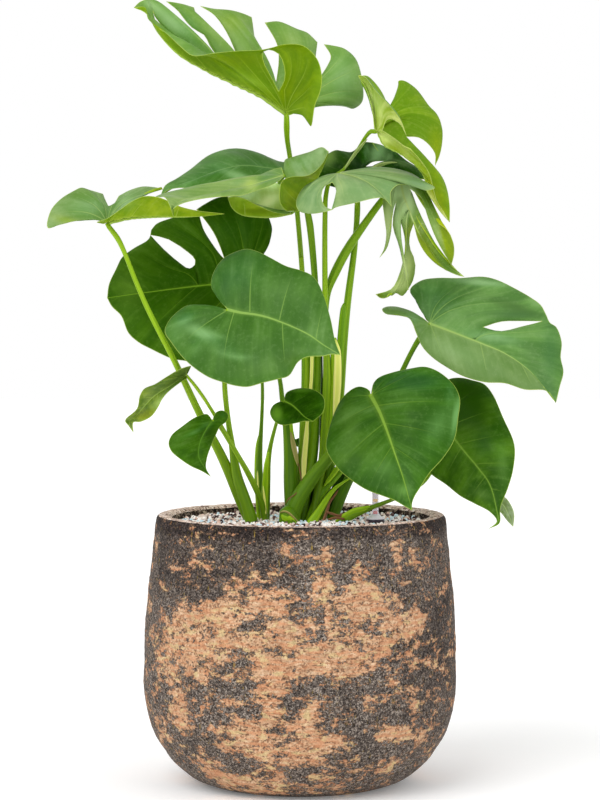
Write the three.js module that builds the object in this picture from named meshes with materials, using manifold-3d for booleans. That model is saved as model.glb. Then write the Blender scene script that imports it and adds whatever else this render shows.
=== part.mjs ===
import * as THREE from 'three';
import { mergeVertices } from 'three/addons/utils/BufferGeometryUtils.js';
import Module from 'manifold-3d';

// Swiss cheese plant in a round stoneware planter, with a water level gauge.
// Millimetres, +Z up. The origin is the centre of the planter's flat foot.
// X runs to the right and Y away from a viewer who stands in front of the plant.

const POT_HEIGHT = 293;
const POT_RADIUS = 170;
const POT_FOOT_RADIUS = 97;
const POT_RIM_RADIUS = 158;
const POT_WALL = 18;
const POT_FLOOR = 22;
const POT_SEGMENTS = 40;

const FILL_HEIGHT = 282;
const FILL_RADIUS_AT_TOP = 132;
const FILL_GAP = 0.3;
const GRAIN_RELIEF = 1.6;
const STALK_DEPTH_IN_FILL = 36;
const FILL_REACH = 10;

const GAUGE_X = 82;
const GAUGE_Y = 2;
const GAUGE_TUBE_RADIUS = 3.5;
const GAUGE_TUBE_TOP = 350;
const GAUGE_WELL_RADIUS = 9.4;
const GAUGE_WELL_BOTTOM = 46;
const GAUGE_SIDES = 16;

const BLADE_THICKNESS = 0.8;
const BLADE_ARCH = 0.06;
const CLEARANCE = 0.35;
const SMALLEST_EDGE = 0.02;
const STALK_SIDES = 8;
const STALK_STEPS = 1.5;

// Leaf and stalk points are [x, z, y] as they line up for an eye in front of the plant:
// x and z are measured on the upright plane through the origin, and y is the true depth.
const EYE_DISTANCE = 3000;
const EYE_HEIGHT = 555;

// Rows across a leaf half, as fractions of the way from the midrib to the margin.
// A slit or a hole starts at FOOT, and a hole ends again at HEAD.
const FOOT = 0.25;
const HEAD = 0.8;
const PLAIN_ROWS = [0, 0.3, 0.65, 1];
const CUT_ROWS = [0, FOOT, 0.45, 0.62, HEAD, 1];

const HIGH_LEAVES_FROM = 600;
const GREEN_UPPER = 0x6f9e3c;
const GREEN_DEEP = 0x3c7423;
const GREEN_STALK = 0x6b9a2a;
const STONEWARE = 0x6b5a4c;
const GRANULATE = 0xcfc8be;

const wasm = await Module();
wasm.setup();

// A leaf half is a row of lobes. A lobe grows from a stretch of the midrib, counted in
// ribSteps, and ends in its own stretch of margin. Between two lobes lies a slit, open
// to the edge, or a hole, which closes again at its head.
function lobe(fromStep, toStep, margin) {
  return { fromStep, toStep, margin };
}

function split(foot, before, after) {
  return { foot, before, after };
}

function hole(foot, head, before, after) {
  return { foot, head, before, after };
}

const LEAVES = {
  top: {
    ribSteps: 6,
    rib: [
      [-14, 729, 0], [-33, 742, -2], [-58, 755, -5], [-85, 766, -6], [-111, 780, -5],
      [-137, 804, 0], [-159, 828, 8], [-178, 841, 15]
    ],
    near: [
      lobe(0, 0, [
        [-11, 725, -4], [1, 729, -14], [11, 720, -22], [14, 714, -26], [17, 736, -38],
        [24, 754, -48], [25, 769, -54], [20, 786, -58], [4, 800, -60], [-17, 802, -60],
        [-30, 799, -59]
      ]),
      hole([-22, 752, -24], [-34, 796, -55], [
        [-16, 766, -36], [-17, 780, -46], [-23, 792, -54]
      ], [
        [-28, 764, -34], [-37, 781, -44], [-39, 793, -54]
      ]),
      lobe(0, 6, [
        [-41, 797, -58], [-66, 795, -52], [-94, 792, -45], [-120, 791, -32], [-137, 804, -18],
        [-153, 819, -6], [-165, 830, 4], [-178, 841, 15]
      ]),
    ],
    far: [
      lobe(0, 0, [
        [-12, 727, 4], [4, 730, 16], [20, 734, 26], [36, 735, 42], [49, 734, 54], [59, 732, 62],
        [67, 739, 68], [70, 751, 72], [63, 784, 80], [50, 797, 82], [35, 801, 82], [27, 803, 80]
      ]),
      split([20, 764, 44], [
        [30, 780, 58], [34, 791, 72]
      ], [
        [19, 775, 54], [17, 784, 62]
      ]),
      lobe(0, 0, [
        [20, 804, 80], [9, 814, 82], [-2, 818, 82], [-22, 826, 80], [-37, 825, 76]
      ]),
      split([-25, 760, 24], [
        [-22, 784, 42], [-24, 803, 58]
      ], [
        [-34, 777, 38], [-46, 799, 56]
      ]),
      lobe(0, 2, [
        [-51, 831, 74], [-60, 835, 72], [-73, 840, 68], [-91, 841, 64], [-107, 844, 60]
      ]),
      split([-62, 780, 30], [
        [-78, 812, 44], [-94, 834, 54]
      ], [
        [-91, 804, 40], [-112, 828, 50]
      ]),
      lobe(2, 3, [
        [-124, 842, 58], [-133, 846, 54], [-145, 848, 50]
      ]),
      split([-85, 784, 22], [
        [-109, 810, 32], [-128, 830, 42]
      ], [
        [-106, 804, 26], [-133, 830, 36]
      ]),
      lobe(3, 6, [
        [-150, 845, 46], [-157, 849, 40], [-163, 849, 32], [-171, 846, 24], [-178, 841, 15]
      ]),
    ],
  },
  top_right: {
    ribSteps: 4,
    rib: [
      [84, 708, 0], [91, 693, -4], [109, 682, -8], [128, 668, -8], [144, 648, -4], [155, 628, 0],
      [162, 609, 4]
    ],
    near: [
      lobe(0, 0, [
        [81, 711, -5], [77, 731, -12], [71, 756, -20], [64, 768, -26], [70, 768, -30],
        [84, 751, -38], [99, 735, -42], [111, 720, -42], [116, 705, -36]
      ]),
      split([89, 709, -8], [
        [96, 721, -22], [109, 717, -34]
      ], [
        [101, 701, -18], [112, 693, -26]
      ]),
      lobe(0, 4, [
        [120, 689, -30], [135, 673, -26], [144, 660, -20], [150, 643, -12], [157, 625, -4],
        [162, 609, 4]
      ]),
    ],
    far: [
      lobe(0, 0, [
        [86, 710, 4], [78, 736, 14], [66, 760, 20], [67, 768, 24], [75, 768, 30], [84, 759, 36],
        [91, 745, 42], [95, 737, 44]
      ]),
      split([96, 719, 22], [
        [96, 730, 36]
      ], [
        [101, 729, 34]
      ]),
      lobe(0, 1, [
        [104, 743, 44], [109, 752, 48], [107, 762, 52], [113, 763, 54], [126, 755, 56],
        [141, 734, 56], [150, 724, 54], [156, 710, 50], [156, 697, 46], [152, 683, 40],
        [147, 671, 34]
      ]),
      split([115, 702, 16], [
        [128, 701, 20], [139, 694, 26], [147, 683, 34]
      ], [
        [128, 688, 18], [139, 676, 24]
      ]),
      lobe(1, 4, [
        [146, 670, 26], [153, 659, 24], [159, 646, 20], [162, 628, 12], [162, 609, 4]
      ]),
    ],
  },
  far_left: {
    ribSteps: 6,
    rib: [
      [-209, 608, -12], [-188, 613, -18], [-156, 615, -26], [-124, 615, -33], [-102, 616, -38],
      [-82, 619, -42]
    ],
    near: [
      lobe(0, 6, [
        [-213, 607, -16], [-220, 609, -24], [-209, 613, -34], [-196, 622, -42], [-182, 633, -50],
        [-168, 638, -54], [-150, 636, -58], [-133, 628, -58], [-116, 623, -54], [-98, 620, -48],
        [-82, 619, -42]
      ]),
    ],
    far: [
      lobe(0, 0, [
        [-213, 610, -8], [-220, 612, -10], [-239, 611, -18], [-261, 606, -24], [-273, 603, -26],
        [-270, 622, -14], [-259, 635, -2], [-244, 645, 10], [-236, 648, 14], [-226, 645, 18],
        [-213, 641, 22]
      ]),
      split([-207, 627, 4], [
        [-211, 635, 16]
      ], [
        [-202, 629, 10]
      ]),
      lobe(0, 6, [
        [-196, 638, 24], [-183, 646, 34], [-170, 649, 38], [-155, 649, 36], [-148, 647, 32],
        [-161, 643, 26], [-172, 635, 16], [-155, 626, 0], [-124, 620, -20], [-102, 619, -32],
        [-82, 619, -42]
      ]),
    ],
  },
  upper_back: {
    ribSteps: 6,
    rib: [
      [-17, 665, 72], [-39, 669, 72], [-62, 671, 68], [-87, 665, 62], [-113, 656, 54],
      [-135, 648, 46], [-151, 637, 40]
    ],
    near: [
      lobe(0, 6, [
        [-20, 660, 66], [-26, 652, 56], [-44, 648, 50], [-65, 647, 48], [-94, 645, 46],
        [-113, 646, 44], [-131, 647, 42], [-144, 644, 40], [-151, 637, 40]
      ]),
    ],
    far: [
      lobe(0, 6, [
        [-15, 669, 78], [-13, 674, 88], [-17, 676, 96], [-26, 677, 104], [-49, 686, 112],
        [-72, 692, 114], [-96, 684, 106], [-119, 666, 86], [-133, 658, 68], [-146, 649, 52],
        [-151, 637, 40]
      ]),
    ],
  },
  upper_left: {
    ribSteps: 7,
    rib: [
      [-17, 660, -8], [-41, 652, -16], [-67, 646, -22], [-96, 639, -30], [-115, 635, -42],
      [-130, 632, -60], [-136, 625, -67], [-137, 614, -67]
    ],
    near: [
      lobe(0, 7, [
        [-21, 656, -24], [-33, 649, -36], [-48, 645, -44], [-63, 640, -50], [-78, 638, -54],
        [-99, 637, -56], [-118, 633, -63], [-130, 628, -70], [-138, 622, -73], [-137, 614, -67]
      ]),
    ],
    far: [
      lobe(0, 7, [
        [-20, 669, 2], [-30, 666, 8], [-46, 661, 12], [-60, 658, 14], [-73, 656, 12],
        [-85, 647, 6], [-102, 646, 2], [-120, 644, -4], [-128, 637, -14], [-135, 641, -12],
        [-147, 640, -20], [-158, 637, -34], [-152, 637, -48], [-146, 637, -62], [-141, 627, -71],
        [-137, 614, -67]
      ]),
    ],
  },
  upper_low: {
    ribSteps: 4,
    rib: [
      [-9, 619, 2], [-28, 615, -2], [-48, 615, -8], [-63, 617, -12], [-73, 624, -16],
      [-78, 635, -18]
    ],
    near: [
      lobe(0, 4, [
        [-11, 619, -4], [-17, 618, -12], [-29, 621, -22], [-46, 629, -28], [-59, 635, -28],
        [-70, 638, -24], [-78, 635, -18]
      ]),
    ],
    far: [
      lobe(0, 4, [
        [-8, 622, 8], [-11, 632, 22], [-17, 643, 32], [-26, 647, 36], [-41, 644, 30],
        [-57, 639, 14], [-70, 636, -4], [-78, 635, -18]
      ]),
    ],
  },
  upper_middle: {
    ribSteps: 5,
    rib: [
      [-3, 621, 4], [4, 633, 12], [13, 647, 18], [21, 662, 22], [27, 675, 20], [32, 686, 14]
    ],
    near: [
      lobe(0, 5, [
        [-7, 620, -18], [-16, 621, -30], [-23, 632, -36], [-23, 645, -36], [-16, 656, -32],
        [-4, 663, -24], [10, 671, -10], [22, 680, 4], [32, 686, 14]
      ]),
    ],
    far: [
      lobe(0, 5, [
        [-1, 623, 12], [-7, 638, 30], [-16, 658, 40], [-17, 677, 44], [-7, 681, 44], [10, 686, 40],
        [23, 692, 30], [32, 686, 14]
      ]),
    ],
  },
  upper_front: {
    ribSteps: 3,
    rib: [
      [41, 663, 14], [61, 658, 2], [74, 651, -12], [87, 640, -26], [99, 626, -38]
    ],
    near: [
      lobe(0, 0, [
        [37, 662, 16], [22, 658, 10], [7, 651, -2], [-2, 640, -16], [-5, 629, -26], [-1, 621, -32],
        [11, 619, -38], [25, 620, -42], [35, 623, -43]
      ]),
      hole([34, 653, -4], [34, 624, -42], [
        [26, 649, -18], [23, 637, -30], [27, 626, -38]
      ], [
        [38, 645, -18], [37, 634, -32]
      ]),
      lobe(0, 3, [
        [39, 625, -44], [61, 631, -46], [81, 635, -44], [90, 635, -42], [99, 626, -38]
      ]),
    ],
    far: [
      lobe(0, 3, [
        [46, 664, 18], [59, 662, 22], [81, 663, 20], [95, 665, 18], [109, 666, 14], [121, 663, 4],
        [134, 655, -12], [146, 647, -26], [136, 644, -26], [119, 649, -16], [107, 650, -16],
        [99, 644, -22], [98, 635, -30], [99, 626, -38]
      ]),
    ],
  },
  upper_right_back: {
    ribSteps: 3,
    rib: [
      [62, 645, 46], [67, 660, 52], [82, 670, 58], [100, 674, 62], [118, 670, 66], [135, 656, 68]
    ],
    near: [
      lobe(0, 0, [
        [65, 643, 44], [74, 645, 40], [83, 649, 40], [89, 653, 42]
      ]),
      hole([75, 663, 50], [87, 665, 48], [
        [81, 662, 49]
      ], [
        [81, 665, 51]
      ]),
      lobe(0, 3, [
        [109, 656, 48], [122, 657, 56], [135, 656, 68]
      ]),
    ],
    far: [
      lobe(0, 0, [
        [57, 645, 50], [37, 651, 54], [22, 660, 58], [13, 669, 64], [23, 677, 74], [38, 688, 84],
        [46, 687, 88], [57, 686, 92], [70, 696, 94], [78, 696, 94]
      ]),
      hole([71, 670, 66], [93, 676, 80], [
        [79, 675, 72]
      ], [
        [83, 671, 72]
      ]),
      lobe(0, 3, [
        [89, 693, 94], [102, 687, 92], [115, 677, 86], [127, 669, 78], [135, 656, 68]
      ]),
    ],
  },
  drooping: {
    ribSteps: 6,
    rib: [
      [108, 658, 14], [112, 638, 6], [118, 622, 0], [124, 607, -4], [135, 586, -8], [153, 565, -8],
      [178, 550, -6]
    ],
    near: [
      lobe(0, 1, [
        [101, 650, 12], [90, 635, 6], [91, 615, 0], [93, 596, -4], [90, 579, -6], [86, 570, -6]
      ]),
      split([104, 632, 4], [
        [99, 615, -2], [99, 599, -4], [95, 582, -6]
      ], [
        [100, 606, -6], [106, 583, -12], [111, 560, -16]
      ]),
      lobe(1, 2, [
        [116, 535, -18], [118, 536, -18]
      ]),
      split([109, 610, -2], [
        [110, 590, -8], [114, 571, -13], [118, 550, -17]
      ], [
        [113, 590, 0], [112, 573, 2], [106, 549, 1], [99, 537, -2]
      ]),
      lobe(2, 3, [
        [85, 530, -6], [96, 529, 0], [114, 530, 8]
      ]),
      split([123, 607, -3], [
        [119, 595, 2], [119, 582, 4], [125, 566, 8], [123, 547, 10]
      ], [
        [128, 589, -10], [136, 575, -14], [147, 564, -14]
      ]),
      lobe(3, 6, [
        [158, 557, -12], [167, 553, -9], [173, 551, -7], [178, 550, -6]
      ]),
    ],
    far: [
      lobe(0, 2, [
        [114, 656, 14], [124, 646, 12], [133, 635, 8], [139, 625, 4], [149, 612, 0],
        [162, 599, -4], [167, 586, -6], [167, 575, -8], [164, 562, -8]
      ]),
      split([119, 646, 8], [
        [132, 634, 5], [136, 621, 1], [143, 601, -3], [151, 584, -7]
      ], [
        [123, 626, 3], [127, 612, -1], [135, 599, -4], [149, 578, -6]
      ]),
      lobe(2, 6, [
        [165, 561, -6], [170, 557, -6], [173, 553, -6], [176, 551, -6], [178, 550, -6]
      ]),
    ],
  },
  left_back: {
    ribSteps: 6,
    lean: { depth: 44, perX: 0.07, perZ: 0.5 },
    rib: [
      [-65, 544], [-99, 541], [-134, 537], [-172, 532], [-209, 527]
    ],
    near: [
      lobe(0, 6, [
        [-61, 537], [-52, 523], [-54, 501], [-65, 479], [-85, 463], [-109, 456], [-125, 459],
        [-138, 461], [-162, 472], [-175, 479], [-186, 489], [-194, 508], [-204, 518], [-209, 527]
      ]),
    ],
    far: [
      lobe(0, 1, [
        [-59, 549], [-46, 562], [-45, 579], [-35, 589], [-32, 600], [-34, 612], [-41, 625],
        [-61, 632], [-78, 627], [-88, 619]
      ]),
      split([-82, 570], [
        [-89, 588], [-97, 603]
      ], [
        [-94, 584], [-102, 601]
      ]),
      lobe(1, 2, [
        [-110, 619], [-124, 619], [-139, 614], [-155, 608], [-161, 601]
      ]),
      hole([-114, 564], [-161, 592], [
        [-121, 576], [-141, 588]
      ], [
        [-126, 561], [-146, 575]
      ]),
      lobe(2, 6, [
        [-164, 591], [-181, 581], [-193, 572], [-200, 558], [-207, 542], [-209, 527]
      ]),
    ],
  },
  front: {
    ribSteps: 11,
    lean: { depth: -60, perX: -0.388, perZ: 0.639 },
    rib: [
      [-78, 514], [-65, 511], [-44, 508], [-24, 502], [8, 488], [27, 475], [44, 465]
    ],
    near: [
      lobe(0, 11, [
        [-85, 513], [-96, 518], [-109, 521], [-122, 520], [-133, 513], [-143, 502], [-147, 491],
        [-140, 479], [-124, 459], [-101, 442], [-85, 436], [-70, 432], [-57, 431], [-41, 435],
        [-24, 439], [-12, 443], [-2, 458], [7, 463], [25, 464], [35, 466], [44, 465]
      ]),
    ],
    far: [
      lobe(0, 11, [
        [-81, 518], [-88, 525], [-96, 536], [-97, 547], [-91, 562], [-82, 572], [-70, 578],
        [-58, 581], [-46, 578], [-32, 571], [-15, 562], [2, 557], [15, 550], [25, 532], [33, 505],
        [38, 481], [44, 465]
      ]),
    ],
  },
  right: {
    ribSteps: 6,
    lean: { depth: 10, perX: -0.18, perZ: 0.62 },
    rib: [
      [141, 499], [165, 490], [201, 476], [222, 467], [249, 448], [278, 413]
    ],
    near: [
      lobe(0, 6, [
        [137, 502], [126, 508, 4], [107, 516, 4], [91, 518, 2], [90, 514, -6], [107, 510, -8],
        [119, 504, -6], [125, 491], [132, 475], [143, 463], [159, 452], [178, 442], [201, 436],
        [222, 435], [244, 428], [268, 426], [278, 413]
      ]),
    ],
    far: [
      lobe(0, 2, [
        [137, 503], [128, 520], [119, 536], [131, 546], [149, 549], [173, 549], [198, 551],
        [213, 548], [236, 537], [251, 528], [261, 520], [267, 509]
      ]),
      hole([199, 495], [262, 502], [
        [218, 501], [239, 502]
      ], [
        [218, 491], [242, 497]
      ]),
      lobe(2, 6, [
        [271, 501], [278, 496], [284, 479], [283, 463], [286, 447], [282, 431], [278, 413]
      ]),
    ],
  },
  low_front: {
    ribSteps: 9,
    lean: { depth: -34, perX: -0.15, perZ: 0.55 },
    rib: [
      [77, 421], [86, 404], [94, 384], [102, 361], [112, 333], [122, 300]
    ],
    near: [
      lobe(0, 9, [
        [76, 426], [72, 429], [64, 431], [56, 428], [45, 418], [36, 401], [30, 382], [28, 364],
        [40, 343], [56, 329], [72, 319], [88, 313], [104, 308], [114, 303], [122, 300]
      ]),
    ],
    far: [
      lobe(0, 9, [
        [79, 425], [79, 433], [85, 441], [100, 447], [119, 451], [135, 453], [148, 449],
        [162, 439], [170, 429], [174, 417], [172, 398], [168, 374], [156, 354], [141, 337],
        [132, 324], [124, 313], [122, 300]
      ]),
    ],
  },
  low_back: {
    ribSteps: 7,
    lean: { depth: 40, perX: -0.12, perZ: 0.42 },
    rib: [
      [150, 397], [169, 374], [188, 349], [207, 325], [214, 294]
    ],
    near: [
      lobe(0, 7, [
        [145, 394], [135, 386], [128, 370], [131, 353], [141, 337], [159, 324], [174, 312],
        [189, 304], [204, 296], [211, 292], [214, 294]
      ]),
    ],
    far: [
      lobe(0, 7, [
        [150, 403], [150, 416], [152, 429], [161, 439], [174, 441], [188, 438], [200, 434],
        [210, 422], [221, 397], [233, 368], [232, 342], [227, 323], [221, 307], [214, 294]
      ]),
    ],
  },
  low_small: {
    ribSteps: 3,
    lean: { depth: 66, perX: 0, perZ: 0.3 },
    rib: [
      [214, 307], [221, 302], [226, 293], [232, 278]
    ],
    near: [
      lobe(0, 3, [
        [212, 306], [212, 301], [219, 293], [226, 284], [232, 278]
      ]),
    ],
    far: [
      lobe(0, 3, [
        [217, 310], [222, 311], [229, 303], [233, 292], [232, 278]
      ]),
    ],
  },
  small_round: {
    ribSteps: 5,
    lean: { depth: -36, perX: -0.35, perZ: 0.5 },
    rib: [
      [-17, 415], [-9, 411], [-1, 404], [5, 398], [14, 393]
    ],
    near: [
      lobe(0, 5, [
        [-21, 415], [-29, 411], [-33, 403], [-28, 393], [-19, 389], [-5, 391], [4, 393], [14, 393]
      ]),
    ],
    far: [
      lobe(0, 5, [
        [-17, 418], [-15, 424], [-8, 428], [3, 430], [16, 428], [25, 421], [27, 412], [24, 402],
        [14, 393]
      ]),
    ],
  },
  small_left: {
    ribSteps: 6,
    lean: { depth: -50, perX: 0.12, perZ: 0.45 },
    rib: [
      [-95, 394], [-102, 384], [-109, 369], [-110, 354], [-103, 342], [-97, 333]
    ],
    near: [
      lobe(0, 6, [
        [-97, 397], [-101, 401], [-113, 398], [-126, 390], [-139, 380], [-143, 370], [-140, 361],
        [-130, 352], [-118, 344], [-107, 339], [-97, 333]
      ]),
    ],
    far: [
      lobe(0, 6, [
        [-94, 398], [-91, 403], [-84, 405], [-78, 401], [-79, 394], [-87, 387], [-91, 379],
        [-97, 365], [-101, 353], [-102, 342], [-97, 333]
      ]),
    ],
  },
  small_folded: {
    ribSteps: 6,
    rib: [
      [-123, 443, -38], [-141, 431, -42], [-157, 421, -46], [-169, 409, -48], [-178, 398, -50],
      [-185, 393, -51], [-181, 381, -56]
    ],
    near: [
      lobe(0, 6, [
        [-122, 440, -42], [-131, 435, -50], [-144, 425, -58], [-151, 417, -64], [-155, 409, -66],
        [-162, 399, -66], [-173, 393, -62], [-181, 392, -58], [-181, 381, -56]
      ]),
    ],
    far: [
      lobe(0, 6, [
        [-122, 447, -38], [-118, 453, -41], [-130, 450, -41], [-144, 442, -40], [-157, 434, -38],
        [-169, 429, -38], [-174, 421, -40], [-177, 407, -44], [-190, 394, -50], [-186, 388, -52],
        [-181, 381, -56]
      ]),
    ],
  },
  tiny: {
    ribSteps: 2,
    lean: { depth: 34, perX: 0, perZ: 0.3 },
    rib: [
      [-1, 365], [-3, 369], [-4, 374]
    ],
    near: [
      lobe(0, 2, [
        [0, 366], [2, 370], [0, 375], [-4, 374]
      ]),
    ],
    far: [
      lobe(0, 2, [
        [-2, 365], [-7, 368], [-8, 373], [-4, 374]
      ]),
    ],
  },
};

// Stalks of each shoot, from the blade down: [x, z, y, radius].
const SHOOTS = {
  left: {
    far_left: [
      [-208.8, 607.0, -11.7, 2.6], [-196, 589, -14, 2.5], [-178, 545, -22, 2.7],
      [-165, 515, -26, 2.9], [-136, 458, -27, 3.4], [-109, 401, -22, 4], [-83, 350, -14, 4.8],
      [-64, 307, -8, 6.2], [-51, 282, -5, 7]
    ],
    front: [
      [-78.4, 513.5, -58.2, 2.4], [-79, 481, -46, 2.6], [-82, 436, -32, 2.9], [-78, 393, -21, 3.1],
      [-72, 367, -15, 3.6], [-62, 335, -10, 4.6], [-54, 304, -7, 5.6], [-49, 282, -5, 6.5]
    ],
  },
  small: {
    small_folded: [
      [-123.0, 442.3, -37.6, 1.6], [-118, 437, -36, 1.7], [-106, 421, -34, 1.8],
      [-94, 402, -31, 2], [-85, 387, -29, 2.2], [-70, 360, -26, 2.8], [-53, 330, -20, 3.2],
      [-42, 304, -4, 3.6], [-38, 282, 6, 4]
    ],
    small_left: [
      [-94.3, 394.0, -49.3, 1.6], [-88, 388, -43, 1.7], [-76, 369, -35, 1.9], [-61, 343, -27, 2.2],
      [-48, 318, -14, 2.8], [-40, 299, -2, 3.3], [-38, 282, 6, 3.6]
    ],
    left_back: [
      [-64.8, 542.4, 45.0, 1.9], [-57, 514, 52, 1.9], [-46, 476, 48, 1.9], [-41, 434, 38, 1.9],
      [-42, 389, 30, 2.2], [-44, 362, 26, 3.4], [-44, 331, 23, 4], [-38, 282, 20, 5]
    ],
    small_round: [
      [-17.4, 414.7, -35.3, 1.6], [-22, 403, -31, 1.7], [-26, 390, -28, 1.8], [-32, 367, -20, 2.4],
      [-35, 349, -12, 3.4], [-36, 329, -2, 4], [-37, 305, 8, 4.6], [-38, 282, 14, 5]
    ],
  },
  centre: {
    upper_back: [
      [-17.4, 664.6, 72.3, 2.2], [-22, 651, 80, 2.3], [-35, 627, 86, 2.4], [-48, 596, 92, 2.6],
      [-50, 571, 92, 2.6], [-46, 525, 84, 2.6], [-33, 476, 60, 2.6], [-22, 438, 28, 2.6],
      [-19, 414, 20, 3], [-14, 388, 14, 5.6], [-11, 360, 12, 7.8], [-10, 325, 10, 8.8],
      [-8, 282, 8, 9]
    ],
    upper_left: [
      [-17.4, 659.2, -7.3, 1.8], [-21, 655, 12, 1.8], [-23, 651, 40, 1.9], [-30, 637, 74, 1.8],
      [-36, 624, 86, 1.2]
    ],
    top: [
      [-13.9, 726.9, 0.0, 2.8], [-15, 701, 26, 2.8], [-8, 678, 54, 2.8], [-4, 645, 59, 2.8],
      [-2, 619, 56, 2.9], [2, 558, 44, 3], [5, 503, 38, 3.2], [7, 438, 30, 3.4], [3, 384, 24, 3.4],
      [0, 340, 18, 4], [-2, 282, 12, 5]
    ],
    upper_middle: [
      [-2.7, 620.4, 5.4, 2.2], [7, 616, 15, 2.6], [11, 599, 21, 3], [16, 549, 34, 2.8],
      [19, 492, 34, 3.2], [19, 438, 30, 4.2], [17, 394, 26, 5], [14, 355, 20, 5.4],
      [7, 318, 12, 5.6], [2, 282, 8, 5.6]
    ],
    upper_low: [
      [-8.1, 618.5, 0.9, 2], [-4, 613, 14, 2.1], [-2, 597, 32, 2], [1, 571, 44, 1.4]
    ],
    low_front: [
      [77.3, 420.2, -33.0, 3], [67, 405, -18, 4], [48, 377, -10, 5.6], [30, 353, -6, 6.6],
      [13, 332, -6, 8], [0, 312, -8, 9], [-8, 294, -8, 9.6], [-10, 282, -8, 9.6]
    ],
    bud: [
      [-18.5, 298.1, -21, 5], [-15, 294, -20, 8.4], [-13, 289, -18, 9.4], [-12, 282, -16, 9.6]
    ],
    tiny: [
      [-1.1, 364.6, 34.0, 1.2], [0, 357, 31, 1.2], [1, 348, 19, 1.3]
    ],
  },
  tall: {
    top_right: [
      [83.4, 707.5, 1.0, 2.6], [77, 708, 8, 2.4], [72, 702, 18, 2.2], [60, 685, 34, 2.2],
      [47, 665, 38, 2.3], [36, 649, 34, 2.5], [30, 634, 28, 2.7], [27, 616, 26, 2.9],
      [27, 534, 24, 3.2], [28, 481, 24, 3.4], [29, 438, 24, 4.6], [27, 384, 20, 4.8],
      [23, 340, 12, 4.8], [14, 282, 3, 4.8]
    ],
    drooping: [
      [107.7, 656.7, 15.3, 2.2], [100, 645, 22, 2.6], [90, 634, 26, 3], [69, 606, 28, 3.6],
      [52, 581, 30, 4], [40, 557, 34, 4], [33, 529, 36, 4], [32, 481, 34, 4], [34, 438, 30, 4.2],
      [32, 384, 24, 4.6], [26, 340, 19, 5], [19, 282, 15, 5]
    ],
    upper_right_back: [
      [62.0, 644.0, 46.0, 2.4], [62, 621, 44, 2.8], [59, 583, 42, 3.2], [51, 520, 36, 3.6],
      [47, 475, 32, 3.8], [44, 427, 28, 4], [39, 373, 22, 4.4], [30, 329, 14, 5], [23, 282, 8, 5]
    ],
    upper_front: [
      [41.7, 662.5, 14.3, 2], [48, 656, 22, 2.1], [56, 645, 32, 2], [62, 625, 44, 1.4]
    ],
  },
  right: {
    right: [
      [141.1, 498.5, 10.7, 2.6], [127, 479, 24, 2.8], [111, 448, 34, 3], [93, 405, 40, 3.4],
      [72, 360, 40, 4.4], [57, 327, 38, 6], [41, 302, 34, 6.6], [33, 282, 32, 6.6]
    ],
  },
  low: {
    low_back: [
      [149.6, 396.0, 41.0, 2.2], [155, 373, 48, 2.2], [151, 349, 49, 2.3], [140, 330, 45, 2.3],
      [123, 318, 40, 2.4], [103, 308, 34, 2.5], [76, 298, 22, 3.6], [54, 289, 16, 4.2],
      [39, 279, 14, 4]
    ],
    low_small: [
      [213.9, 307.4, 66.5, 1.4], [192, 320, 62, 1.5], [170, 340, 56, 1.6], [153, 355, 48, 1.2]
    ],
  },
};

// Places a measured point in space. A lean gives the depth of points that state none.
function place([x, z, y = 0], lean) {
  const depth = lean ? lean.depth + lean.perX * (x - lean.x) + lean.perZ * (z - lean.z) + y : y;
  const scale = (EYE_DISTANCE + depth) / EYE_DISTANCE;
  return new THREE.Vector3(x * scale, depth, EYE_HEIGHT + (z - EYE_HEIGHT) * scale);
}

function smoothCurve(points) {
  return new THREE.CatmullRomCurve3(points, false, 'centripetal');
}

function mix(a, b, t) {
  return a.clone().lerp(b, t);
}

// The side of a lobe: straight to the foot of the cut, then along the cut to the margin.
function sideOfCut(root, foot, bends, head, end) {
  const edge = smoothCurve([foot, ...bends, head ?? end]);
  const edgeEnd = head ? HEAD : 1;
  return (v) => {
    if (v <= FOOT) return mix(root, foot, v / FOOT);
    if (v <= edgeEnd) return edge.getPoint((v - FOOT) / (edgeEnd - FOOT));
    return mix(head, end, (v - HEAD) / (1 - HEAD));
  };
}

// Splits a half into lobes that know their own two sides.
function readHalf(parts, rib, ribSteps, at) {
  const lobes = parts.filter((part) => part.margin);
  const cuts = parts.filter((part) => part.foot);
  let marginEnd = null;
  return lobes.map((part, i) => {
    const margin = part.margin.map(at);
    const [cutBefore, cutAfter] = [cuts[i - 1], cuts[i]];
    if (cutBefore?.head) margin.unshift(marginEnd);
    marginEnd = margin.at(-1);
    const start = rib.getPoint(part.fromStep / ribSteps);
    const end = rib.getPoint(part.toStep / ribSteps);
    const side = (cut, bends, root, tip) =>
      cut && sideOfCut(root, at(cut.foot), bends.map(at), cut.head && at(cut.head), tip);
    return {
      ...part,
      margin,
      firstSide: side(cutBefore, cutBefore?.after, start, margin[0]),
      lastSide: side(cutAfter, cutAfter?.before, end, marginEnd),
    };
  });
}

// The direction that the upper side of a half faces, from the fan of its margin points.
function upperSide(lobes, base, face) {
  const margin = lobes.flatMap((part) => part.margin);
  const sum = new THREE.Vector3();
  for (let i = 1; i < margin.length; i += 1) {
    sum.add(margin[i - 1].clone().sub(base).cross(margin[i].clone().sub(base)));
  }
  return sum.multiplyScalar(Math.sign(sum.dot(face))).normalize();
}

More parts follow.
